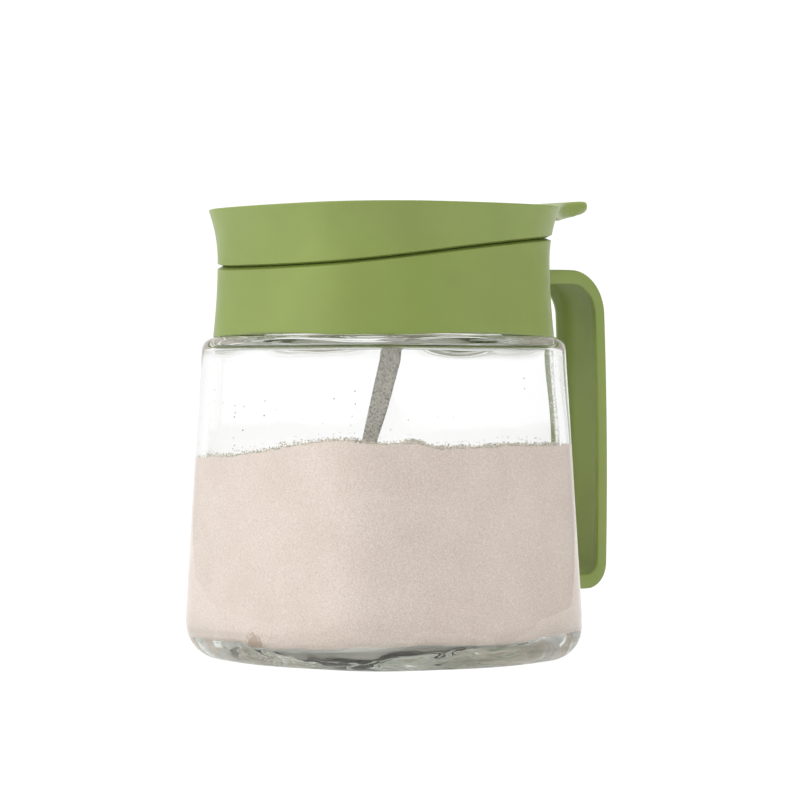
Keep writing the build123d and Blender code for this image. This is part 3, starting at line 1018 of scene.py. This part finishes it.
def tab_belly(x):
    """Height of the tab's lower face, which rises in a bow towards the tip."""
    share = (x - tab_root) / (lid_high.x - tab_root)
    low = hinge_z + knuckle_radius + tab_root_cover
    return low + (lid_high.z - tab_tip_depth - low) * max(0.0, share) ** tab_bow


def web_side():
    """Places in plan along the web's side: it leaves the lid's corner smoothly and joins the tab."""
    angle = math.radians(web_corner_angle)
    centre = rim_half_width - side_bulge
    corner_at = (centre + math.sqrt(2 * (side_bulge - shell_corner) ** 2 - centre ** 2)) / 2
    leaves = corner_at + shell_corner * np.array((math.cos(angle), math.sin(angle)))
    joins = np.array((rim_half_width + web_length, tab_half_width - tab_sunk))
    bends = leaves + web_bend * np.array((math.sin(angle), -math.cos(angle)))
    levels = joins - np.array((web_run_out, 0))
    return [(1 - t) ** 3 * leaves + 3 * t * (1 - t) ** 2 * bends
            + 3 * t * t * (1 - t) * levels + t ** 3 * joins for t in np.linspace(0, 1, 28)]


def web_ring(share, place, under_plate):
    """Ring across the web: slanted as the lid's wall where it leaves that wall, upright at the tab."""
    x, y = place
    low = max(under_plate, tab_belly(x)) + web_lift * (1 - share)
    ring = round_section(x, y, tab_top(x) - web_sunk, low, web_round, web_low_round)
    angle = math.radians(web_corner_angle)
    drawn_in = (rim_half_width - shell_half_width(ring[:, 2])) * (1 - share) ** 2
    ring[:, 0] -= drawn_in * math.cos(angle)
    ring[:, 1] -= drawn_in * math.sin(angle) * np.sign(ring[:, 1])
    return ring


def round_section(x, half, top, low, upper, lower):
    """Ring across the tab or its web, with an upper and a lower edge radius."""
    points = []
    for a in quarter_turn(0, 90, 5):
        points.append((half - upper * (1 - math.cos(a)), top - upper * (1 - math.sin(a))))
    for a in quarter_turn(90, 180, 5):
        points.append((-half + upper * (1 + math.cos(a)), top - upper * (1 - math.sin(a))))
    for a in quarter_turn(180, 270, 6):
        points.append((-half + lower * (1 + math.cos(a)), low + lower * (1 + math.sin(a))))
    for a in quarter_turn(270, 360, 6):
        points.append((half - lower * (1 - math.cos(a)), low + lower * (1 + math.sin(a))))
    return np.array([(x, y, z) for y, z in points])


class JAR_OT_tab(bpy.types.Operator):
    """Thumb tab over the handle, thinning to a rounded tip, and the web that carries the lid into it"""

    bl_idname = "jar.tab"
    bl_label = "Thumb tab"

    def execute(self, context):
        tip = lid_high.x
        stations = list(np.linspace(tab_root, tip - tab_corner, 26))
        stations += [tip - tab_corner * (1 - math.sin(a)) for a in quarter_turn(0, 84, 10)[1:]]
        stations += [tip - tab_corner * (1 - math.sin(a)) for a in quarter_turn(86, 90, 2)[:-1]]
        rings = [self.section(x, tip) for x in stations]
        start = rings[0].mean(axis=0)
        end = rings[-1].mean(axis=0)
        end[0] = tip
        tab = skin("lid_tab", rings, 60.0, start_pole=start, end_pole=end)
        recalculate(tab)
        dress(tab, "lid", satin_green, "green_plastic")
        under_plate = rim_height - rim_rise / 2 - lid_ceiling + web_sunk
        side = web_side()
        shares = np.linspace(0, 1, len(side))
        rings = [web_ring(share, place, under_plate) for share, place in zip(shares, side)]
        web = skin("tab_web", rings, 60.0, start_pole=rings[0].mean(axis=0), end_pole=rings[-1].mean(axis=0))
        recalculate(web)
        dress(web, "lid", satin_green, "green_plastic")
        return {"FINISHED"}

    def section(self, x, tip):
        """Ring across the tab at a place along it: crisp upper edges and round lower ones."""
        over = max(0.0, x - (tip - tab_corner))
        half = tab_half_width - tab_corner + math.sqrt(max(0.0, tab_corner ** 2 - over ** 2))
        top, low = tab_top(x), tab_belly(x)
        end_round = 1.0 - math.sqrt(max(0.0, 1 - (over / tab_corner) ** 2))
        low += 0.75 * end_round
        top -= 0.25 * end_round
        return round_section(x, half, top, low, min(1.0, (top - low) * 0.4), min(1.5, (top - low) * 0.5))


handle_back_radius = 840.0
handle_back_height = 42.0
handle_top_bend = 11.0
handle_foot_bend = 6.3
handle_foot_length = 12.7
handle_depth = 3.4
handle_web = 1.3
handle_root_sag = 0.6
handle_drop = 0.3
handle_flange = 0.8
handle_edge = 0.7
handle_lip = 0.3
peg_length = 2.8
root_plate_height = 14.0
root_plate_wall = 1.8


def arc_of_path(middle_x, middle_z, radius, first, last, steps):
    """Points on an arc with their inward normals, in X and Z."""
    return [(middle_x + radius * math.cos(a), middle_z + radius * math.sin(a), -math.cos(a), -math.sin(a))
            for a in quarter_turn(first, last, steps)]


def handle_bend(radius, height):
    """Middle of a bend that runs smoothly into the handle's long back, and the angle where it does."""
    between = handle_back_radius - radius
    over = height - handle_back_height
    return (handle_high.x - handle_back_radius + math.sqrt(between ** 2 - over ** 2),
            math.degrees(math.asin(over / between)))


def handle_path():
    """Points along the handle's outer face with their inward normals, in X and Z."""
    top, foot = handle_high.z - handle_drop, handle_low.z
    high, low = top - handle_top_bend, foot + handle_foot_bend
    high_x, leaves = handle_bend(handle_top_bend, high)
    low_x, meets = handle_bend(handle_foot_bend, low)
    root_x = handle_low.x + peg_length
    path = [(x, top - handle_root_sag * (1 - math.sin(math.pi / 2 * (x - root_x) / (high_x - root_x))),
             0.0, -1.0) for x in np.linspace(root_x, high_x, 14)[:-1]]
    path += arc_of_path(high_x, high, handle_top_bend, 90, leaves, 16)
    path += arc_of_path(handle_high.x - handle_back_radius, handle_back_height, handle_back_radius,
                        leaves, meets, 30)[1:-1]
    path += arc_of_path(low_x, low, handle_foot_bend, meets, -90, 12)
    path += [(x, foot, 0.0, 1.0) for x in np.linspace(low_x, handle_high.x - handle_foot_length, 5)[1:]]
    return path


class JAR_OT_handle(bpy.types.Operator):
    """Channel-section handle that opens towards the jar, with its root plate"""

    bl_idname = "jar.handle"
    bl_label = "Handle"

    def execute(self, context):
        half = (handle_high.y - handle_low.y) / 2
        rings = []
        for x, z, inward_x, inward_z in handle_path():
            ring = [(x + inward_x * d, y, z + inward_z * d) for y, d in self.section(half)]
            rings.append(np.array(ring))
        start = rings[0].mean(axis=0)
        end = rings[-1].mean(axis=0)
        handle = skin("handle_channel", rings, 35.0, start_pole=start, end_pole=end)
        recalculate(handle)
        dress(handle, "collar", satin_green, "green_plastic", "handle")
        root_x = handle_low.x + peg_length
        root_top = handle_high.z - handle_drop - handle_root_sag
        root = rounded_bar((root_x, -half, handle_high.z - root_plate_height),
                           (root_x + root_plate_wall, half, root_top), pad_edge, "handle_root")
        dress(root, "collar", satin_green, "green_plastic")
        return {"FINISHED"}

    def section(self, half):
        """Across the handle: crowned outer face, rounded edges and a hollowed inner face."""
        outer = [(handle_edge * (1 - math.cos(a)), handle_edge * (1 - math.sin(a)))
                 for a in quarter_turn(90, 0, 5)]
        inner = [(handle_lip * (1 - math.cos(a)), handle_depth - handle_lip * (1 - math.sin(a)))
                 for a in quarter_turn(0, 90, 3)]
        inside = half - handle_flange
        floor = [(inside * share, handle_depth - (handle_depth - handle_web) * (1 - abs(share) ** 5))
                 for share in np.linspace(1, -1, 19)]
        edge = outer + inner
        return [(half - y, d) for y, d in edge] + floor + [(y - half, d) for y, d in edge[::-1]]


powder_gap = -0.06
powder_floor_gap = 0.2
side_height = 44.0

# Swells and hollows of the powder across the view: height, place and width. It falls away from the
# camera by a slope, steps up at the right and heaps where the spoon was pushed in.
powder_swells = ((1.1, -6.0, 22.0), (-1.5, -46.0, 16.0), (-0.6, -32.0, 9.0), (1.3, -11.0, 9.0))
powder_slope = 0.012
powder_step = (1.3, 24.0, 3.0)
powder_heap = (1.7, (6.0, 3.0), (-33.0, 7.0))

# Unevenness of the powder: height, width of a wave, place in the noise and its seed.
powder_waves = ((0.6, 9.0, 0, 1.0), (0.30, 2.6, 4, 2.0), (0.16, 0.9, 8, 5.0))


def powder_height(x, y, level):
    """Height of the powder: poured a little to one side, slumped at the far corners, grainy."""
    right = (math.cos(math.radians(camera_azimuth)), math.sin(math.radians(camera_azimuth)))
    across = x * right[0] + y * right[1]
    along = -x * right[1] + y * right[0]
    height = level - powder_slope * (along + 36)
    for rise, place, width in powder_swells:
        height += rise * math.exp(-((across - place) / width) ** 2)
    rise, place, width = powder_step
    height += rise / (1 + math.exp((place - across) / width))
    rise, (place, width), (far, depth) = powder_heap
    height += rise * math.exp(-((across - place) / width) ** 2 - ((along - far) / depth) ** 2)
    for rise, width, place, seed in powder_waves:
        height += rise * ripple(x, y, place, width, seed)
    return height


def powder_rings(level, floor):
    """Rings of the powder's side, and of its surface from the rim to near the middle.

    The powder overlaps the glass by a hair, as a film of air between them would shine like a mirror.
    """
    side = inner_rings(powder_gap, floor, side_height, powder_floor_gap)
    rim = tapered_ring(glass_wall + powder_gap, side_height + 2.0)
    top = []
    for share in np.linspace(1.0, 0.02, 60):
        ring = rim.copy()
        ring[:, :2] *= share
        ring[:, 2] = [powder_height(x, y, level) for x, y in ring[:, :2]]
        top.append(ring)
    return side, top


class JAR_OT_powder(bpy.types.Operator):
    """Seasoning: filled against the glass, its surface poured, slumped and grainy"""

    bl_idname = "jar.powder"
    bl_label = "Powder"

    def execute(self, context):
        floor = context.scene.jar_sizes.glass_floor / MM
        level = context.scene.jar_sizes.powder_level / MM
        side, top = powder_rings(level, floor)
        side = wavy_floor(side, floor)
        middle = (0, 0, powder_height(0, 0, level))
        powder = skin("seasoning_heap", side + top, 60.0, start_pole=(0, 0, floor + 0.62), end_pole=middle)
        dress(powder, "jar", powder_mix, "powder", "seasoning_fill")
        return {"FINISHED"}


smallest_grain = 0.5
largest_grain = 1.35
dust_gap = 0.12


def scatter_tree():
    """Geometry Nodes tree that strews small grains over the faces it is given."""
    tree, enter, leave = growing_tree("strew_grains", {"Density": "Float", "Grain size": "Float",
                                                       "Seed": "Int", "Material": "Material"})
    seed = enter["Seed"]
    dots = node(tree, "GeometryNodeDistributePointsOnFaces",
                {"Mesh": enter["Geometry"], "Density": enter["Density"], "Seed": seed})
    grain = node(tree, "GeometryNodeMeshIcoSphere", {"Subdivisions": 1, "Radius": enter["Grain size"]})
    size = node(tree, "FunctionNodeRandomValue", {2: smallest_grain, 3: largest_grain, "Seed": seed},
                data_type="FLOAT")
    turn = node(tree, "FunctionNodeRandomValue", {1: (math.tau, math.tau, math.tau), "Seed": seed},
                data_type="FLOAT_VECTOR")
    place_copies(tree, enter, leave, dots.outputs["Points"], grain.outputs["Mesh"], turn.outputs[0],
                 Scale=size.outputs[1])
    return tree


def strew(name, points, faces, density, grain, seed, material):
    """Plain mesh of grains strewn over a surface; density is grains per square millimetre."""
    tree = bpy.data.node_groups.get("strew_grains") or scatter_tree()
    surface = mesh_object(name, points, faces)
    values = {"Density": density / MM ** 2, "Grain size": grain * MM, "Seed": seed, "Material": material}
    return grown(surface, tree, values)


class JAR_OT_grains(bpy.types.Operator):
    """Loose grains on the powder's surface, and the specks that cling to the glass above it"""

    bl_idname = "jar.grains"
    bl_label = "Loose grains"

    def execute(self, context):
        sizes = context.scene.jar_sizes
        level = sizes.powder_level / MM
        grain = sizes.grain_size / MM / 2
        top = powder_rings(level, sizes.glass_floor / MM)[1][2:]
        points, faces = skin_parts(top, end_pole=(0, 0, powder_height(0, 0, level)))
        loose = strew("loose_grains", points, faces, 1.5, grain, 4, material_once(powder_mix))
        dress(loose, "jar", powder_mix, "powder")
        for name, first, last, low, high, density, size, maker in wall_dust:
            points, faces = self.wall_patch(level, first, last, low, high)
            dust = strew(name, points, faces, density, size, 11, material_once(maker))
            dress(dust, "jar", maker, "powder")
        return {"FINISHED"}

    def wall_patch(self, level, first, last, low, high):
        """Patch on the glass's inner wall, between two angles and two heights over the powder."""
        steps = [int(step) % round_count for step in np.arange(first, last + 1) * round_count / 360]
        inset = glass_wall + dust_gap
        ring = tapered_ring(inset, level)
        edge = np.array([powder_height(x, y, level) for x, y in ring[:, :2]])
        rings = [[tapered_ring(inset, edge[i] + rise)[i] for i in steps] for rise in (low, high)]
        count = len(steps)
        points = [p for ring in rings for p in ring]
        faces = [(i, i + 1, count + i + 1, count + i) for i in range(count - 1)]
        return points, faces


# Dust on the inner wall: name, first and last angle, height over the powder, grains per square
# millimetre, their mean radius and their material.
wall_dust = (
    ("edge_crumbs", 0, 360, -0.6, 0.35, 9.0, 0.24, dusty_crumbs),
    ("loose_crumbs", 0, 360, 0.35, 0.9, 3.4, 0.20, dusty_crumbs),
    ("fine_dust", 0, 360, 0.9, 2.2, 0.45, 0.13, dusty_crumbs),
    ("high_dust", 0, 360, 2.2, 14.0, 0.010, 0.17, dusty_crumbs),
    ("heap_crumbs", 235, 243, -0.6, 1.1, 11.0, 0.18, dusty_crumbs),
    ("left_lump", 190, 193, 0.0, 1.5, 8.0, 0.20, dusty_crumbs),
    ("second_lump", 200, 202, 0.0, 1.2, 7.0, 0.20, dusty_crumbs),
    ("third_lump", 217, 220, 0.0, 1.0, 7.0, 0.18, dusty_crumbs),
    ("corner_dust", 302, 322, 0.5, 22.0, 1.1, 0.15, dusty_crumbs),
    ("spice_specks", 0, 360, -38.0, 20.0, 0.0030, 0.14, dark_spice),
)


def spoon_frame():
    """Matrix of the leaning spoon: x across its face, z along it, -y towards the camera."""
    up = Vector(lift["axis"]).normalized()
    right = Vector((math.cos(math.radians(camera_azimuth)), math.sin(math.radians(camera_azimuth)), 0))
    across = (right - up * right.dot(up)).normalized()
    depth = up.cross(across)
    turned = Matrix((across, depth, up)).transposed()
    return turned


class JAR_OT_spoon(bpy.types.Operator):
    """Spoon of clear plastic: grooved stem and round bowl, standing in the powder"""

    bl_idname = "jar.spoon"
    bl_label = "Spoon"

    def execute(self, context):
        parts = join_parts([self.stem(), self.bowl()])
        turned = spoon_frame()
        points = np.array([turned @ Vector(p) for p in parts[0]])
        low, high = box_mm("spoon")
        mine_low, mine_high = points.min(axis=0), points.max(axis=0)
        points += (np.array(low) + np.array(high)) / 2 - (mine_low + mine_high) / 2
        spoon = mesh_object("clear_spoon", points, parts[1], 60.0)
        recalculate(spoon)
        dress(spoon, "spoon", spoon_plastic, "clear_plastic", "spoon")
        return {"FINISHED"}

    def stem(self):
        """Flat stem that widens upwards, with a groove in its front and a stiffening back."""
        top, foot = 82.5, 14.6
        narrow, wide, thick = 1.6, 2.5, 0.78
        widens, widened = top - 42.0, top - 22.0
        end_round, groove_depth, groove_half = 2.2, 0.5, 0.30
        across = np.linspace(-1, 1, 17)
        rings = []
        heights = list(np.linspace(foot, top - end_round, 40))
        heights += [top - end_round * (1 - math.sin(a)) for a in quarter_turn(15, 88, 7)]
        for z in heights:
            share = min(1.0, max(0.0, (z - widens) / (widened - widens)))
            half = narrow + (wide - narrow) * share * share * (3 - 2 * share)
            if z > top - end_round:
                over = (z - top + end_round) / end_round
                half *= 0.25 + 0.75 * math.sqrt(max(0.0, 1 - over ** 2))
            starts = min(1.0, max(0.0, (z - foot - 3) / 4))
            ends = min(1.0, max(0.0, (top - 5 - z) / 3))
            groove = [groove_depth * starts * ends * math.exp(-(s / groove_half) ** 4) for s in across]
            front = [(half * s, deep - thick * (1 - abs(s) ** 6)) for s, deep in zip(across, groove)]
            back = [(half * s, thick * (1 - abs(s) ** 6)) for s in across[::-1][1:-1]]
            rings.append(np.array([(x, y, z) for x, y in front + back]))
        return skin_parts(rings, start_pole=rings[0].mean(axis=0), end_pole=rings[-1].mean(axis=0))

    def bowl(self):
        """Round dish with a soft brim, set back a little from the stem."""
        reach, depth, wall, set_back = 8.0, 4.5, 1.1, 0.8
        ball = (reach ** 2 + depth ** 2) / (2 * depth)
        edge = math.asin(reach / ball)
        profile = [(ball * math.sin(a), depth - ball + ball * math.cos(a))
                   for a in np.linspace(0.06, edge, 14)]
        inner = ball - wall
        profile += [(reach - wall * 0.45, -0.25)]
        profile += [(inner * math.sin(a), depth - ball + inner * math.cos(a))
                    for a in np.linspace(edge * 0.98, 0.06, 14)]
        rings = []
        for r, y in profile:
            ring = ring_at(r, 0)[::4]
            level = np.full(len(ring), y - set_back)
            rings.append(np.stack([ring[:, 0], level, ring[:, 1] + reach], axis=1))
        return skin_parts(rings, start_pole=(0, depth - set_back, reach),
                          end_pole=(0, depth - wall - set_back, reach))


class JAR_OT_inner_parts(bpy.types.Operator):
    """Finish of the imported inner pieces: washer, gasket and lid liner"""

    bl_idname = "jar.inner_parts"
    bl_label = "Seals and liner"

    def execute(self, context):
        for name, maker in (("neck_seal", milky_rubber), ("lid_seal", milky_rubber),
                            ("lid_liner", pale_moulding)):
            obj = frame["nodes"][name]
            obj.data.materials.clear()
            obj.data.materials.append(material_once(maker))
        return {"FINISHED"}


def area_lamp(name, azimuth, elevation, distance, size, power, mirrored):
    """Soft box that looks at the jar's middle from an azimuth and elevation in degrees."""
    lamp = bpy.data.lights.new(name, "AREA")
    lamp.energy = power
    lamp.shape = "RECTANGLE"
    lamp.size = size[0]
    lamp.size_y = size[1]
    obj = bpy.data.objects.new(name, lamp)
    a, e = math.radians(azimuth), math.radians(elevation)
    away = Vector((math.sin(a) * math.cos(e), -math.cos(a) * math.cos(e), math.sin(e)))
    middle = Vector((0, 0, 0.06))
    obj.location = middle + away * distance
    obj.rotation_euler = away.to_track_quat("Z", "Y").to_euler()
    obj.visible_glossy = mirrored
    obj.visible_transmission = False
    bpy.context.scene.collection.objects.link(obj)
    return obj


# Strength of the surroundings: soft light at the right and at the left, the white behind glass low
# down and high up, and the floor's glow with its share of what a ray sees.
soft_strength = (0.32, 0.75)
white_strength = (1.06, 0.30)
floor_glow = 1.10
floor_glow_share = 0.94

# Soft boxes: azimuth from the camera's and elevation in degrees, distance and size in metres, power
# in watts, and whether shiny faces mirror it.
soft_boxes = (
    ("left_box", -80, 25, 1.2, (0.9, 1.2), 7.1, False),
    ("right_box", 85, 20, 1.3, (0.8, 1.1), 4.2, False),
    ("front_box", 12, 15, 1.6, (0.8, 0.8), 1.8, False),
    ("top_box", 10, 80, 1.2, (1.0, 1.0), 8.0, True),
)


class JAR_OT_stage(bpy.types.Operator):
    """White floor, studio surroundings, soft boxes and the camera"""

    bl_idname = "jar.stage"
    bl_label = "Stage"

    def execute(self, context):
        self.floor()
        self.surroundings(context.scene)
        for name, turn, elevation, distance, size, power, mirrored in soft_boxes:
            area_lamp(name, camera_azimuth + turn, elevation, distance, size, power, mirrored)
        self.camera(context.scene)
        return {"FINISHED"}

    def floor(self):
        """White floor that keeps the shadows. It glows where glass or gloss shows it clear of the jar."""
        half = 3000.0
        corners = [(-half, -half, 0), (half, -half, 0), (half, half, 0), (-half, half, 0)]
        floor = mesh_object("floor", corners, [(0, 1, 2, 3)])
        material, tree, shader = principled("floor_white", (0.9, 0.9, 0.9), 0.6)
        path = node(tree, "ShaderNodeLightPath").outputs
        bent = maths(tree, "MAXIMUM", path["Is Transmission Ray"], path["Is Glossy Ray"])
        place = node(tree, "ShaderNodeTexCoord").outputs["Object"]
        away = node(tree, "ShaderNodeVectorMath", {0: place}, operation="LENGTH")
        open_floor = spread(tree, away.outputs["Value"], 0.042, 0.15, 0.05, 1.0)
        seen = maths(tree, "MAXIMUM", path["Is Camera Ray"], maths(tree, "MULTIPLY", bent, open_floor))
        share = maths(tree, "MULTIPLY", seen, floor_glow_share)
        glow = node(tree, "ShaderNodeEmission", {"Strength": floor_glow})
        one_of_two(tree, share, shader.outputs["BSDF"], glow.outputs["Emission"], "Material Output")
        floor.data.materials.append(material)

    def surroundings(self, scene):
        """Soft light that is stronger at the left, white behind glass and at glancing reflections."""
        world = bpy.data.worlds.new("studio")
        scene.world = world
        world.use_nodes = True
        tree = world.node_tree
        soft = tree.nodes["Background"]
        soft.inputs["Color"].default_value = (1, 1, 1, 1)
        way = node(tree, "ShaderNodeTexCoord").outputs["Generated"]
        a = math.radians(camera_azimuth)
        side = node(tree, "ShaderNodeVectorMath", {0: way, 1: (-math.cos(a), -math.sin(a), 0.25)},
                    operation="DOT_PRODUCT")
        feed(soft.inputs["Strength"], spread(tree, side.outputs["Value"], -1, 1, *soft_strength))
        height = node(tree, "ShaderNodeSeparateXYZ", {"Vector": way}).outputs["Z"]
        strength = spread(tree, height, 0.35, 0.75, *white_strength)
        white = node(tree, "ShaderNodeBackground", {"Color": (1, 1, 1, 1), "Strength": strength})
        path = node(tree, "ShaderNodeLightPath").outputs
        onward = node(tree, "ShaderNodeVectorMath", {0: way, 1: (-math.sin(a), math.cos(a), 0)},
                      operation="DOT_PRODUCT")
        ahead = spread(tree, onward.outputs["Value"], 0.80, 0.97, 0.0, 1.0)
        grazed = maths(tree, "MULTIPLY", path["Is Glossy Ray"], ahead)
        seen = maths(tree, "MAXIMUM", path["Is Camera Ray"], path["Is Transmission Ray"])
        seen = maths(tree, "MAXIMUM", seen, grazed)
        one_of_two(tree, seen, soft.outputs["Background"], white.outputs["Background"], "World Output")
        scene.view_settings.view_transform = "Standard"
        scene.cycles.max_bounces = 32
        scene.cycles.glossy_bounces = 24
        scene.cycles.transmission_bounces = 24
        scene.cycles.transparent_max_bounces = 16

    def camera(self, scene):
        """Level camera at the photograph's place."""
        a = math.radians(camera_azimuth)
        back = Vector((math.sin(a), -math.cos(a), 0))
        right = Vector((math.cos(a), math.sin(a), 0))
        data = bpy.data.cameras.new("camera")
        data.sensor_width = sensor_width
        data.lens = focal_pixels / frame_pixels * sensor_width
        data.clip_start = 0.05
        data.clip_end = 20
        camera = bpy.data.objects.new("camera", data)
        place = back * camera_distance + right * camera_aside + Vector((0, 0, camera_height))
        camera.location = place * MM
        camera.rotation_euler = (math.pi / 2, 0, a)
        scene.collection.objects.link(camera)
        scene.camera = camera


class JAR_PT_panel(bpy.types.Panel):
    """Sidebar panel with every step"""

    bl_idname = "JAR_PT_panel"
    bl_label = "Spice jar"
    bl_space_type = "VIEW_3D"
    bl_region_type = "UI"
    bl_category = "Spice jar"

    def draw(self, context):
        layout = self.layout
        for group in (context.scene.jar_sizes, context.scene.jar_colours):
            for name in group.bl_rna.properties.keys():
                if name not in ("rna_type", "name"):
                    layout.prop(group, name)
        for step in steps:
            layout.operator(step.bl_idname)


steps = (JAR_OT_stage, JAR_OT_glass, JAR_OT_thread, JAR_OT_powder, JAR_OT_grains, JAR_OT_spoon,
         JAR_OT_collar, JAR_OT_hinge, JAR_OT_handle, JAR_OT_lid, JAR_OT_tab, JAR_OT_inner_parts)
classes = (JarSizes, JarColours) + steps + (JAR_PT_panel,)


def register():
    for item in classes:
        bpy.utils.register_class(item)
    bpy.types.Scene.jar_sizes = bpy.props.PointerProperty(type=JarSizes)
    bpy.types.Scene.jar_colours = bpy.props.PointerProperty(type=JarColours)


def unregister():
    del bpy.types.Scene.jar_colours
    del bpy.types.Scene.jar_sizes
    for item in reversed(classes):
        bpy.utils.unregister_class(item)


def main():
    register()
    for step in steps:
        group, name = step.bl_idname.split(".")
        getattr(getattr(bpy.ops, group), name)()


if __name__ == "__main__":
    main()
